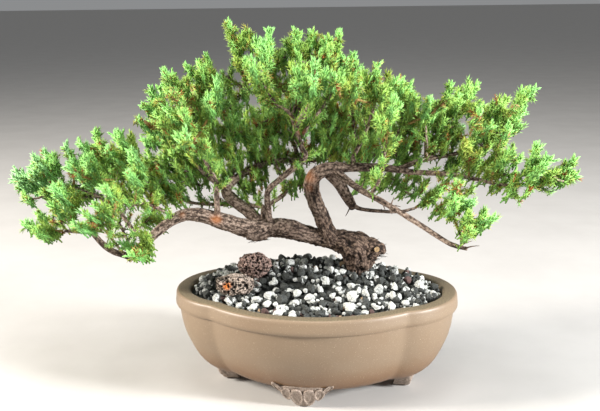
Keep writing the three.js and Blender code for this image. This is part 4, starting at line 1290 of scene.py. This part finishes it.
    def furrow_bark(self, tube: Piece) -> None:
        """Sinks furrows between the flakes of bark, deeper where the limb is thicker.

        Args:
            tube: A mesh object from `tubes`, which also gets the attribute "relief": the bark's height, which
                the finish also paints as shade in the furrows.
        """
        count = len(tube.data.vertices)
        grain = np.empty(count * 3, np.float32)
        tube.data.attributes["grain"].data.foreach_get("vector", grain)
        girth = np.empty(count, np.float32)
        tube.data.attributes["girth"].data.foreach_get("value", girth)
        places = points_of(tube.data)
        away = np.linalg.norm(places - np.array(self.stump_foot), axis=1)
        rough = 1 + 1.3 * np.exp(-((away / self.rough_reach) ** 2))
        moves, reliefs = [], []
        for (x, y, z), radius, wild in zip(grain.reshape(-1, 3), girth, rough):
            strips = noise.noise(Vector((x, y, z * self.strip_stretch)) / self.furrow_width)
            flakes = noise.noise(Vector((x, y, z * self.flake_stretch)) / (0.5 * self.furrow_width))
            swell = noise.noise(Vector((x, y, z)) / self.swell_size)
            relief = (0.5 - abs(strips) * 1.6) * 0.7 + flakes * 0.5
            depth = self.furrow * min(radius, self.furrow_radius) / 2 * wild
            moves.append(depth * (relief + swell * 0.6 - 0.1))
            reliefs.append(0.5 + 0.75 * relief)
        # the finish darkens low relief as painted shade in the furrows
        set_attribute(tube.data, "relief", np.clip(reliefs, 0, 1))
        place_points(tube.data, places + normals_of(tube.data) * np.array(moves)[:, None])

    def bark_shreds(self, random: Random, routes: Sequence[np.ndarray]) -> list[np.ndarray]:
        """Loose fibres of bark that lie along the old wood and lift at one end.

        Args:
            random: Says where they lie.
            routes: The old limbs' rows of x, y, z, radius.

        Returns:
            Each fibre's rows of x, y, z, radius.
        """
        shreds = []
        for _ in range(self.shreds):
            route = routes[random.integers(len(routes))]
            row = random.integers(2, len(route) - 8)
            centre, radius = route[row, :3], route[row, 3]
            if centre[2] < self.shreds_above or radius < self.shreds_on:
                continue
            ahead = route[row + 1, :3] - route[row - 1, :3]
            ahead /= np.linalg.norm(ahead) * random.choice((-1, 1))
            out = unit(np.cross(ahead, random.normal(size=3)))
            near_stump = np.linalg.norm(centre - np.array(self.stump_foot)) < self.stump_reach
            sizes = self.stump_shred if near_stump else self.other_shred
            length, lift = [random.uniform(*ends) for ends in sizes]
            side = np.cross(ahead, out) * random.uniform(-0.25, 0.25)
            rows = []
            for share in np.linspace(0, 1, 6):
                place = centre + out * (radius * 0.96 + lift * share**2) + (ahead + side) * length * share
                rows.append([*place, random.uniform(*self.shred_radius) * (1.1 - 0.8 * share)])
            shreds.append(np.array(rows))
        return shreds

    def sawn_knot(self) -> Piece:
        """The short sawn knot on the stump, with its pale cut face.

        Returns:
            The knot.
        """
        start, end, radius = Vector(self.knot[0]), Vector(self.knot[1]), self.knot[2]
        way = (end - start).normalized()
        deselect_all()
        turn = way.to_track_quat("Z", "Y").to_euler()
        bpy.ops.mesh.primitive_cylinder_add(
            vertices=20, radius=radius, depth=(end - start).length, location=(start + end) / 2, rotation=turn
        )
        knot = start_piece("sawn_knot")
        bpy.ops.object.transform_apply(location=True, rotation=True, scale=True)
        coat(knot, BARK, CUT_WOOD)
        for face in knot.data.polygons:
            face.material_index = int(face.normal.dot(way) > 0.9)
        set_attribute(knot.data, "grain", points_of(knot.data))
        self.mark_age(knot)
        return knot

    def stubs(self, random: Random, routes: Sequence[np.ndarray]) -> list[np.ndarray]:
        """Short bare twigs, most of them dead, that stand off the limbs.

        Args:
            random: Says where they stand.
            routes: The limbs' rows of x, y, z, radius.

        Returns:
            Each stub's rows of x, y, z, radius.
        """
        stubs = []
        for route in routes:
            span = len(route)
            for _ in range(span // self.stub_pitch):
                row = random.integers(span // 6, span)
                x, y, z, radius = route[row]
                if z < self.stubs_above or radius > self.stubs_on:
                    continue
                ahead = route[min(row + 1, span - 1), :3] - route[row - 1, :3]
                ahead /= np.linalg.norm(ahead) + 1e-9
                out = unit(np.cross(ahead, random.normal(size=3)))
                way = out * 0.85 + ahead * random.uniform(0.1, 0.9) + 0.2 * UP
                length = random.uniform(*self.stub_length) + radius
                bow = random.normal(size=3) * 0.12 * length
                thick = min(0.75, 0.3 * radius + 0.2)
                shares = np.linspace(0, 1, 5)[:, None]
                line = np.array([x, y, z]) + way * length * shares + bow * shares * shares
                stubs.append(np.column_stack([line, thick * (1 - 0.75 * shares)]))
        return stubs

    def build(self, crown: "Crown") -> Piece:
        """The wood, which replaces its CAD node.

        Args:
            crown: Grows its own twigs from the limbs, which are joined in.

        Returns:
            The wood.
        """
        random = np.random.default_rng(self.seed)
        groups = [], [], []
        for name, points in LIMBS.items():
            widest = max(radius for *_, radius in points)
            number = (widest <= self.old_above) + (widest <= self.thick_above)
            groups[number].append(self.route(points, self.meshes[number][0]))
            if name not in self.bare:
                self.leafy_routes.append(groups[number][-1])
        old, thick, thin = groups
        twigs = [*thin, *crown.grow([*old, *thick, *thin]), *self.stubs(random, [*thick, *thin])]
        pieces = []
        for name, limbs, (_, sides) in zip(self.names, (old, thick, twigs), self.meshes):
            pieces.append(self.tubes(name, limbs, sides))
            self.furrow_bark(pieces[-1])
        pieces.append(self.tubes("bark_shreds", self.bark_shreds(random, old), 0))
        for piece in pieces:
            coat(piece, BARK)
        wood = join([*pieces, self.sawn_knot()], "juniper_wood")
        smooth(wood, 60)
        return hand_over(wood, ["trunk"])


# ---- Foliage ----


class Habit(Enum):
    """How a shoot carries its needles."""

    SCALY = "short needles pressed to the shoot, as on its sunlit tips"
    OPEN = "awl-shaped needles that stand off the shoot, as inside the crown"


@dataclass
class Shoot:
    """A leafy shoot, modelled once and copied at any length."""

    habit: Habit
    length: float = 10.0
    core: float = 0.55
    needles: int = 12
    needle_length: float = 3.0
    needle_width: float = 1.05
    stand: float = 0.48  # the angle between needle and shoot, in radians

    points: np.ndarray = field(init=False, repr=False)
    faces: np.ndarray = field(init=False, repr=False)
    tip: np.ndarray = field(init=False, repr=False)

    def __post_init__(self) -> None:
        """Models the shoot: a slim core, and needles in a spiral round it."""
        deselect_all()
        bpy.ops.mesh.primitive_cone_add(
            vertices=4, radius1=self.core, radius2=0.5 * self.core, depth=self.length * 0.92,
            location=(0, 0, self.length * 0.46),
        )  # fmt: skip
        shoot = start_piece("shoot_" + self.habit.name.lower())
        bpy.ops.object.mode_set(mode="EDIT")
        for number in range(self.needles):
            share = number / (self.needles - 1)
            turn = number * GOLDEN_ANGLE
            stand = self.stand * (1.15 - 0.75 * share)
            out = math.sin(stand)
            way = Vector((math.cos(turn) * out, math.sin(turn) * out, math.cos(stand)))
            reach = self.needle_length * (0.85 + 0.3 * math.sin(math.pi * share))
            foot = Vector((0, 0, self.length * (0.12 + 0.7 * share)))
            bpy.ops.mesh.primitive_cone_add(
                vertices=3, radius1=self.needle_width * 0.6, radius2=0, depth=reach,
                location=foot + way * reach / 2, rotation=way.to_track_quat("Z", "Y").to_euler(),
            )  # fmt: skip
        bpy.ops.object.mode_set(mode="OBJECT")
        self.points = points_of(shoot.data)
        self.faces = triangles_of(shoot.data)
        away = np.hypot(self.points[:, 0], self.points[:, 1])
        along = self.points[:, 2] / self.length
        # how far out towards the needles' tips a point is; the finish paints shade where this is low
        self.tip = np.clip(0.75 * away / away.max() + 0.45 * along, 0, 1)
        bpy.data.objects.remove(shoot)


@dataclass
class Planted:
    """The shoots gathered for one piece."""

    points: list[np.ndarray] = field(default_factory=list)
    faces: list[np.ndarray] = field(default_factory=list)
    tips: list[np.ndarray] = field(default_factory=list)
    ages: list[np.ndarray] = field(default_factory=list)
    size: int = 0

    def plant(
        self, shoot: Shoot, foot: np.ndarray, way: np.ndarray, length: float, spin: float, age: float
    ) -> None:
        """Copies a shoot.

        Args:
            shoot: The modelled shoot.
            foot: Where it starts.
            way: The direction that it grows in, of length 1.
            length: How long it is.
            spin: Its turn about its own axis.
            age: Its place on the needles' scale of colours, from 0 to 1.
        """
        side = unit(np.cross(way, (math.cos(spin), math.sin(spin), 0.37)))
        turned = np.stack([side, np.cross(way, side), way], 1)
        share = length / shoot.length
        stretch = np.array([share**0.5, share**0.5, share])
        self.faces.append(shoot.faces + self.size)
        self.points.append((shoot.points * stretch) @ turned.T + foot)
        self.tips.append(shoot.tip)
        self.ages.append(np.full(len(shoot.points), age))
        self.size += len(shoot.points)


@dataclass
class Crown:
    """The inside of the crown: pads of foliage, and the twigs that reach them from the nearest wood."""

    # the middle and the half sizes of each pad
    pads: tuple[tuple[float, float, float, float, float, float], ...] = (
        (-123, 22, 164, 21, 16, 20), (-104, 30, 172, 11, 14, 13), (-74, 25, 183, 16, 16, 21),
        (-42, 30, 197, 19, 18, 21), (-23, 0, 243, 8, 14, 20), (-61, 8, 226, 10, 14, 11),
        (13, 15, 206, 12, 18, 17), (16, 28, 180, 11, 16, 9), (41, 20, 187, 8, 16, 12),
        (68, 25, 187, 13, 18, 17), (96, 15, 200, 14, 18, 15), (125, 0, 184, 10, 14, 14),
        (41, 30, 158, 17, 14, 8), (74, 28, 155, 14, 14, 9), (116, 0, 156, 8, 10, 5),
        (-131, 2, 131, 11, 12, 8), (-53, 32, 158, 15, 14, 10), (-17, 32, 157, 10, 14, 10),
        (93, -12, 146, 10, 10, 6), (-216, -22, 151, 10, 12, 5), (-200, -18, 135, 10, 12, 7),
        (-151, -5, 150, 10, 14, 8), (146, -34, 166, 20, 10, 4), (166, -34, 175, 17, 12, 6),
        (-50, -14, 261, 8, 10, 11), (-5, -20, 245, 9, 16, 12), (27, 0, 235, 11, 18, 11),
        (53, 0, 228, 12, 16, 12), (-84, 5, 224, 17, 18, 12), (-118, 12, 207, 10, 14, 16),
        (-162, -8, 175, 19, 16, 10), (-9, -5, 217, 15, 16, 10), (11, -15, 258, 10, 14, 9),
        (-85, 5, 197, 12, 14, 11), (79, 18, 215, 15, 16, 9), (137, 0, 210, 14, 14, 14),
        (106, 10, 174, 11, 12, 9), (-20, 52, 205, 26, 12, 16), (-60, 58, 196, 20, 10, 12),
        (30, 56, 196, 20, 14, 14), (82, 40, 208, 22, 10, 10), (-110, 44, 184, 20, 10, 14),
        (-10, 30, 222, 30, 14, 12), (-95, 50, 160, 26, 10, 14), (-45, 56, 172, 24, 10, 12),
        (0, 55, 180, 18, 10, 12), (-140, 30, 158, 16, 12, 12), (55, 50, 178, 24, 10, 14),
        (-134, 8, 148, 13, 12, 9), (-115, 12, 146, 11, 12, 7), (145, -14, 184, 10, 10, 8),
        (136, -14, 171, 12, 10, 7),
    )  # fmt: skip
    room: float = 820.0  # cubic millimetres of pad for each tuft
    bearer_below: float = 3.2  # twigs leave wood that is thinner than this
    step: float = 5.0
    twig_radius: Pair = (0.95, 0.55)
    sag: float = 0.12
    seed: int = 77
    tufts: list[tuple[np.ndarray, np.ndarray]] = field(default_factory=list)

    def centres(self, random: Random) -> np.ndarray:
        """Where the tufts are, spread evenly in the pads.

        Args:
            random: Scatters the spots that they are picked from.

        Returns:
            Their places, n by 3.
        """
        centres = []
        for x, y, z, half_x, half_y, half_z in self.pads:
            count = max(2, round(4.19 * half_x * half_y * half_z / self.room))
            spots = [random.uniform(-1, 1, 3) for _ in range(12 * count)]
            found = [spot for spot in spots if np.linalg.norm(spot) < 1]
            picked = found[:1]
            while len(picked) < count:
                gaps = [min(np.linalg.norm(spot - other) for other in picked) for spot in found]
                picked.append(found[int(np.argmax(gaps))])
            centres += [np.array([x, y, z]) + spot * (half_x, half_y, half_z) for spot in picked]
        return np.array(centres)

    def grow(self, routes: Sequence[np.ndarray]) -> list[np.ndarray]:
        """Grows a twig to every tuft from the wood or the earlier twig that is nearest to it.

        Args:
            routes: The limbs' rows of x, y, z, radius.

        Returns:
            Each twig's rows of x, y, z, radius.
        """
        random = np.random.default_rng(self.seed)
        nodes = np.concatenate([route[route[:, 3] < self.bearer_below, :3] for route in routes])
        waiting = list(self.centres(random))
        nearest = [nodes[np.argmin(np.linalg.norm(nodes - spot, axis=1))] for spot in waiting]
        twigs = []
        while waiting:
            gaps = [np.linalg.norm(spot - root) for spot, root in zip(waiting, nearest)]
            index = int(np.argmin(gaps))
            spot, root, gap = waiting.pop(index), nearest.pop(index), gaps[index]
            steps = max(3, math.ceil(gap / self.step))
            bow = random.normal(size=3) * 0.08 * gap - self.sag * gap * UP
            shares = np.linspace(0, 1, steps + 1)
            line = root + (spot - root) * shares[:, None] + bow * (4 * shares * (1 - shares))[:, None]
            twigs.append(np.column_stack([line, np.interp(shares, (0, 1), self.twig_radius)]))
            self.tufts.append((spot, unit(line[-1] - line[-2])))
            for number, other in enumerate(waiting):
                closest = line[np.argmin(np.linalg.norm(line - other, axis=1))]
                if np.linalg.norm(closest - other) < np.linalg.norm(nearest[number] - other):
                    nearest[number] = closest
        log.info("crown: %d twigs", len(twigs))
        return twigs


def forked(axis: np.ndarray, turn: float, lean: float, lift: float) -> np.ndarray:
    """The direction of a shoot that forks from an axis.

    Args:
        axis: The direction of the stem that it leaves, of length 1.
        turn: Its angle round that stem, in radians.
        lean: Its angle from that stem.
        lift: How much it then turns up to the light.

    Returns:
        A direction of length 1.
    """
    side = unit(np.cross(axis, (math.cos(turn), math.sin(turn), 0.2)))
    return unit(axis * math.cos(lean) + side * math.sin(lean) + lift * UP)


@dataclass
class Foliage:
    """All the leafy shoots: tufts where the CAD sprays are, and open shoots inside the crown."""

    scaly: Shoot = field(default_factory=lambda: Shoot(Habit.SCALY))
    open: Shoot = field(
        default_factory=lambda: Shoot(
            Habit.OPEN, needles=10, needle_length=4.4, needle_width=0.75, stand=0.9, core=0.4
        )
    )
    sharp: float = 0.8  # how much a vertex's few edges agree where it is a needle's tip
    tip_edges: int = 6
    per_tip: int = 8
    tip_length: Pair = (11.0, 16.5)
    # a tuft points its twig's own way, out from the heart, up and astray, in these shares
    tuft_way: tuple[float, ...] = (0.4, 0.45, 0.48, 0.1)
    scaly_share: Pair = (0.35, 0.65)  # inside a spray, and how much more of them there are outside
    tuft_age: float = 0.3  # on the scale of colours, of a spray's sunlit outside
    inner_age: float = 0.32  # how much older it is inside
    blue_age: float = 0.25  # how much younger it is where it is bluest
    tip_lean: Pair = (0.3, 0.58)  # radians
    tip_lift: float = 0.24
    fork_along: Pair = (0.0, 0.45)  # where shoots fork from a tuft's middle one, as shares of it
    fork_length: Pair = (0.65, 0.9)
    sunk: float = 4.5  # how far a tuft's foot sits back from its twig's tip
    # the young needles are bluer at the far left and high up: where that starts, and its fade
    blue_left: Pair = (-150.0, 60.0)
    blue_high: Pair = (140.0, 15.0)
    stem_shoots: int = 46  # open shoots on the twigs of each spray
    stem_length: Pair = (7.0, 11.0)
    stem_age: float = 0.52
    side_twig_pitch: float = 8.5  # along the thin limbs
    side_twig_length: Pair = (9.0, 20.0)
    bears_below: float = 2.1  # limbs with a smaller radius bear side twigs
    bears_above: float = 112.0  # and only over this height
    side_lean: Pair = (0.5, 0.95)  # radians
    side_lift: float = 0.25
    side_age: Pair = (0.62, 0.22)  # at a side twig's foot, and how much younger at its tip
    side_twig_shoots: Pair = (7.0, 11.0)
    side_shoot_pitch: float = 1.9
    tuft_shoots: int = 5  # open shoots round each tuft on the crown's own twigs
    tuft_shoot_length: Pair = (8.0, 13.0)
    crown_outer: Pair = (0.1, 0.8)  # how far outside the crown's own tufts count as being
    crown_mood: float = 0.08
    heart: Point = (-15.0, 0.0, 130.0)
    patch: float = 16.0  # across which old needles brown together
    crown_pieces: int = 4
    seed: int = 2026

    def twig(self, node: Piece) -> tuple[np.ndarray, np.ndarray, np.ndarray, np.ndarray]:
        """Reads a CAD spray: its slim twigs, and where its needles' tips point.

        Args:
            node: The CAD spray.

        Returns:
            The twigs' points and triangles, and the feet and directions of its tips, in millimetres.
        """
        mesh = node.data.copy()
        mesh.transform(TO_FRAME.inverted())
        shape = bmesh.new()
        shape.from_mesh(mesh)
        bmesh.ops.remove_doubles(shape, verts=shape.verts, dist=0.01)
        bmesh.ops.triangulate(shape, faces=shape.faces)
        feet, ways, folded = [], [], []
        for corner in shape.verts:
            near = [edge.other_vert(corner).co for edge in corner.link_edges]
            mean = sum([(place - corner.co).normalized() for place in near], Vector()) / len(near)
            if mean.length > self.sharp and len(near) <= self.tip_edges:
                foot = sum(near, Vector()) / len(near)
                feet.append(foot)
                ways.append(-mean.normalized())
                folded.append((corner, foot + 0.15 * (corner.co - foot)))
        for corner, place in folded:
            corner.co = place
        shape.to_mesh(mesh)
        shape.free()
        points, faces = points_of(mesh), triangles_of(mesh)
        bpy.data.meshes.remove(mesh)
        return points, faces, np.array(feet), np.array(ways)

    def spray(self, name: str, random: Random) -> Piece:
        """One spray, which replaces its CAD node.

        Args:
            name: The CAD node's name.
            random: Varies its shoots.

        Returns:
            The spray.
        """
        points, faces, feet, ways = self.twig(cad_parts[name])
        planted = Planted()
        middle = feet.mean(0)
        away = self.outwards(middle)
        spread = np.ptp(feet @ away) + 1e-6
        mood = random.uniform(-0.06, 0.06)
        for foot, way in zip(feet, ways):
            outer = float(np.clip((foot - middle) @ away / spread + 0.5, 0, 1))
            self.tuft(planted, foot, way, outer, mood, random)
        self.clothe(planted, points[faces], mood, random)
        leafy = self.leafy(planted, name + "_leaves")
        twigs = mesh_piece(name + "_twigs", points, faces)
        coat(twigs, GREEN_TWIG)
        return hand_over(join([leafy, twigs], name + "_juniper"), [name])

    def tuft(
        self, planted: Planted, foot: np.ndarray, way: np.ndarray, outer: float, mood: float, random: Random
    ) -> None:
        """Plants the shoots that fork from one tip of a spray.

        Args:
            planted: Gathers them.
            foot: Where the tip starts.
            way: Where it points.
            outer: 1 on the spray's sunlit outside, 0 on its inside.
            mood: Moves the colour of the whole spray.
            random: Varies them.
        """
        own, out, up, astray = self.tuft_way
        axis = unit(own * way + out * self.outwards(foot) + up * UP + random.normal(size=3) * astray)
        foot = foot - self.sunk * axis
        far_left = float(np.clip((self.blue_left[0] - foot[0]) / self.blue_left[1], 0, 1))
        blue = far_left * float(np.clip((foot[2] - self.blue_high[0]) / self.blue_high[1], 0, 1))
        age = self.tuft_age - self.blue_age * blue + self.inner_age * (1 - outer) ** 1.5 + mood
        first = random.uniform(0, 2 * math.pi)
        length = random.uniform(*self.tip_length)
        for number in range(self.per_tip):
            is_scaly = random.random() < self.scaly_share[0] + self.scaly_share[1] * outer
            shoot = self.scaly if is_scaly else self.open
            tone = self.tone(age, 0.05, foot, random, 0.1 * (1 - outer), 0.85)
            if number == 0:
                planted.plant(shoot, foot, axis, length, random.uniform(*ANY_TURN), tone)
                continue
            turn = first + number * GOLDEN_ANGLE
            branch = forked(axis, turn, random.uniform(*self.tip_lean), self.tip_lift)
            start = foot + axis * length * random.uniform(*self.fork_along)
            planted.plant(shoot, start, branch, length * random.uniform(*self.fork_length), turn, tone)

    def outwards(self, place: np.ndarray) -> np.ndarray:
        """The direction from the heart of the crown to a place, of length 1."""
        return unit(place - np.array(self.heart))

    def tone(
        self, age: float, spread: float, place: np.ndarray, random: Random,
        chance: float = 0.3, brown: float = 0.88,
    ) -> float:  # fmt: skip
        """Draws a shoot's place on the needles' scale of colours. Old needles brown in patches.

        Args:
            age: The usual place, from 0 to 1.
            spread: How far shoots stray from it.
            place: Where the shoot stands.
            random: Varies it.
            chance: How likely it is to have browned in the middle of a patch.
            brown: The least age of a browned shoot.

        Returns:
            The shoot's age, from 0 to 1.
        """
        tone = float(np.clip(age + random.normal() * spread, 0, 0.85))
        withered = min(1.0, max(0.0, 4 * noise.noise(Vector(place) / self.patch) - 0.3))
        return random.uniform(brown, 1.0) if random.random() < chance * withered else tone

    def clothe(self, planted: Planted, corners: np.ndarray, mood: float, random: Random) -> None:
        """Plants open shoots all over a spray's twigs.

        Args:
            planted: Gathers them.
            corners: The corners of the twigs' triangles, n by 3 by 3.
            mood: Moves the colour of the whole spray.
            random: Says where they stand.
        """
        crossed = np.cross(corners[:, 1] - corners[:, 0], corners[:, 2] - corners[:, 0])
        areas = np.linalg.norm(crossed, axis=1)
        picked = random.choice(len(corners), self.stem_shoots, p=areas / areas.sum())
        for index in picked:
            shares = random.dirichlet((1, 1, 1))
            foot = shares @ corners[index]
            way = unit(crossed[index] / areas[index] + random.normal(size=3) * 0.35 + 0.35 * UP)
            tone = self.tone(self.stem_age + mood, 0.1, foot, random)
            length = random.uniform(*self.stem_length)
            planted.plant(self.open, foot, way, length, random.uniform(*ANY_TURN), tone)

    def inner(self, routes: Sequence[np.ndarray]) -> Piece:
        """The leafy side twigs along the thin limbs, inside the crown.

        Args:
            routes: The limbs' rows of x, y, z, radius.

        Returns:
            One piece that holds them all.
        """
        random = np.random.default_rng(self.seed)
        planted = Planted()
        for route in routes:
            along = distances_along(route)
            for distance in np.arange(self.side_twig_pitch / 2, along[-1], self.side_twig_pitch):
                row = min(int(np.searchsorted(along, distance)), len(route) - 2)
                place, radius = route[row, :3], route[row, 3]
                if radius > self.bears_below or place[2] < self.bears_above:
                    continue
                ahead = unit(route[row + 1, :3] - place)
                side = unit(np.cross(ahead, unit(random.normal(size=3))))
                self.side_twig(planted, place, unit(side + 0.55 * ahead + 0.45 * UP), random)
        return hand_over(self.leafy(planted, "inner_shoots"))

    def crown(self, number: int, tufts: Sequence[tuple[np.ndarray, np.ndarray]]) -> Piece:
        """Some of the tufts on the crown's own twigs.

        Args:
            number: Names the piece, and seeds it.
            tufts: Each tuft's place, and its twig's direction there.

        Returns:
            One piece that holds them all.
        """
        random = np.random.default_rng([self.seed, 1000 + number])
        planted = Planted()
        for spot, way in tufts:
            out = unit(way * 0.4 + self.outwards(spot) * 0.5 + 0.5 * UP)
            self.tuft(planted, spot, out, random.uniform(*self.crown_outer), self.crown_mood, random)
            for _ in range(self.tuft_shoots):
                lean = unit(out + random.normal(size=3) * 0.75)
                start = spot - way * random.uniform(0, 7)
                tone = self.tone(0.5, 0.12, start, random)
                length = random.uniform(*self.tuft_shoot_length)
                planted.plant(self.open, start, lean, length, random.uniform(*ANY_TURN), tone)
        return hand_over(self.leafy(planted, f"crown_shoots_{number}"))

    def leafy(self, planted: Planted, name: str) -> Piece:
        """Makes one object of the planted shoots.

        Args:
            planted: The shoots.
            name: The object's name.

        Returns:
            The object, in its finish.
        """
        leafy = mesh_piece(name, np.concatenate(planted.points), np.concatenate(planted.faces))
        set_attribute(leafy.data, "tip", np.concatenate(planted.tips))
        set_attribute(leafy.data, "age", np.concatenate(planted.ages))
        coat(leafy, NEEDLES)
        return leafy

    def side_twig(self, planted: Planted, foot: np.ndarray, way: np.ndarray, random: Random) -> None:
        """One slim twig off a limb, with shoots all along it.

        Args:
            planted: Gathers the shoots.
            foot: Where the twig leaves its limb.
            way: The direction that it grows in, of length 1.
            random: Varies it.
        """
        length = random.uniform(*self.side_twig_length)
        planted.plant(self.open, foot, way, length, random.uniform(*ANY_TURN), 0.55)
        count = int(length / self.side_shoot_pitch)
        for number in range(count):
            share = (number + 0.7) / count
            turn = number * GOLDEN_ANGLE
            branch = forked(way, turn, random.uniform(*self.side_lean), self.side_lift)
            tone = self.tone(self.side_age[0] - self.side_age[1] * share, 0.08, foot, random)
            size = random.uniform(*self.side_twig_shoots) * (1 - 0.2 * share)
            planted.plant(self.open, foot + way * length * share * 0.9, branch, size, turn, tone)

    def build(self, routes: Sequence[np.ndarray], crown: Crown) -> None:
        """Every spray, the shoots along the limbs, and the crown's tufts.

        Args:
            routes: The leafy limbs' rows of x, y, z, radius.
            crown: Its tufts are planted once its twigs have grown.
        """
        names = sorted(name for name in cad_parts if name.startswith("spray_"))
        for number, name in enumerate(names):
            self.spray(name, np.random.default_rng([self.seed, number]))
        self.inner(routes)
        tufts = sorted(crown.tufts, key=lambda tuft: tuft[0][0])
        share = math.ceil(len(tufts) / self.crown_pieces)
        for number in range(self.crown_pieces):
            self.crown(number + 1, tufts[number * share : (number + 1) * share])


# ---- Stage ----


@dataclass
class Stage:
    """The pale floor, the soft studio lights and the camera at the photograph's viewing angle."""

    floor_half: float = 30.0  # metres
    camera_place: Point = (78.9, -668.2, 298.5)  # millimetres round the pot
    heading: Pair = (-0.1335, 0.991)
    pitch: float = 12.97  # degrees down
    roll: float = -0.77
    lens: float = 54.0
    sensor: float = 36.0
    # each lamp's name, place and size in metres, aim height in metres, power in watts and colour
    lamps: tuple[tuple[str, Point, float, float, float, str], ...] = (
        ("key_lamp", (-1.4, -0.5, 0.8), 0.36, 0.14, 61.0, "#fff8ee"),
        ("side_lamp", (1.33, -0.45, 0.55), 0.24, 0.12, 49.0, "#ffffff"),
        ("top_lamp", (0.1, -0.3, 1.6), 0.6, 0.16, 12.0, "#ffffff"),
    )
    sky: str = "#e6e8ea"
    sky_strength: float = 0.33

    def floor(self) -> None:
        """A plain pale floor at the height that the feet stand on."""
        deselect_all()
        bpy.ops.mesh.primitive_plane_add(size=2 * self.floor_half, location=(0, 0, 0))
        ground = start_piece("floor")
        ground.data.materials.append(FLOOR_PAINT.material())

    def light(self) -> None:
        """Three soft lamps and a pale sky."""
        for name, place, size, aim, power, colour in self.lamps:
            deselect_all()
            bpy.ops.object.light_add(type="AREA", location=place)
            lamp = bpy.context.object
            lamp.name = name
            lamp.data.size = size
            lamp.data.energy = power
            lamp.data.color = linear(colour)[:3]
            towards = Vector((0, 0, aim)) - Vector(place)
            lamp.rotation_euler = towards.to_track_quat("-Z", "Y").to_euler()
        world = bpy.data.worlds.new("studio")
        bpy.context.scene.world = world
        world.use_nodes = True
        backdrop = world.node_tree.nodes["Background"]
        backdrop.inputs["Color"].default_value = linear(self.sky)
        backdrop.inputs["Strength"].default_value = self.sky_strength

    def camera(self) -> None:
        """The camera: its place, its aim and its slight tilt."""
        deselect_all()
        bpy.ops.object.camera_add()
        camera = bpy.context.object
        camera.name = "camera"
        camera.data.lens = self.lens
        camera.data.sensor_width = self.sensor
        camera.data.sensor_fit = "HORIZONTAL"
        camera.data.clip_start = 0.01
        heading = Vector((*self.heading, 0)).normalized()
        down, tilt = math.radians(self.pitch), math.radians(self.roll)
        ahead = heading * math.cos(down) - Vector((0, 0, math.sin(down)))
        right = Vector((heading.y, -heading.x, 0))
        up = right.cross(ahead)
        tilted_right = right * math.cos(tilt) + up * math.sin(tilt)
        tilted_up = up * math.cos(tilt) - right * math.sin(tilt)
        turned = Matrix((tilted_right, tilted_up, -ahead)).transposed().to_4x4()
        camera.matrix_world = Matrix.Translation(TO_FRAME @ Vector(self.camera_place)) @ turned
        bpy.context.scene.camera = camera

    def build(self) -> None:
        """The whole stage, with a view that keeps the finishes' own colours."""
        self.floor()
        self.light()
        self.camera()
        bpy.context.scene.view_settings.view_transform = "Standard"


def main() -> None:
    """Builds the plant piece by piece, and then the stage."""
    logging.basicConfig(level=logging.INFO, format="%(name)s %(message)s", stream=sys.stdout)
    Stage().build()
    pot = Pot()
    pot.build()
    DrainageScreens().build()
    Gravel(pot).build()
    LavaRock("lava_rock_rear", (15.0, 12.0, 10.6), MAUVE_LAVA, seed=3.1).build()
    LavaRock("lava_rock_front", (15.2, 10.5, 8.5), GREY_LAVA, seed=7.7, stain=(-63.0, -34.0, 88.0)).build()
    wood = Wood()
    crown = Crown()
    wood.build(crown)
    Foliage().build(wood.leafy_routes, crown)


if __name__ == "__main__":
    main()
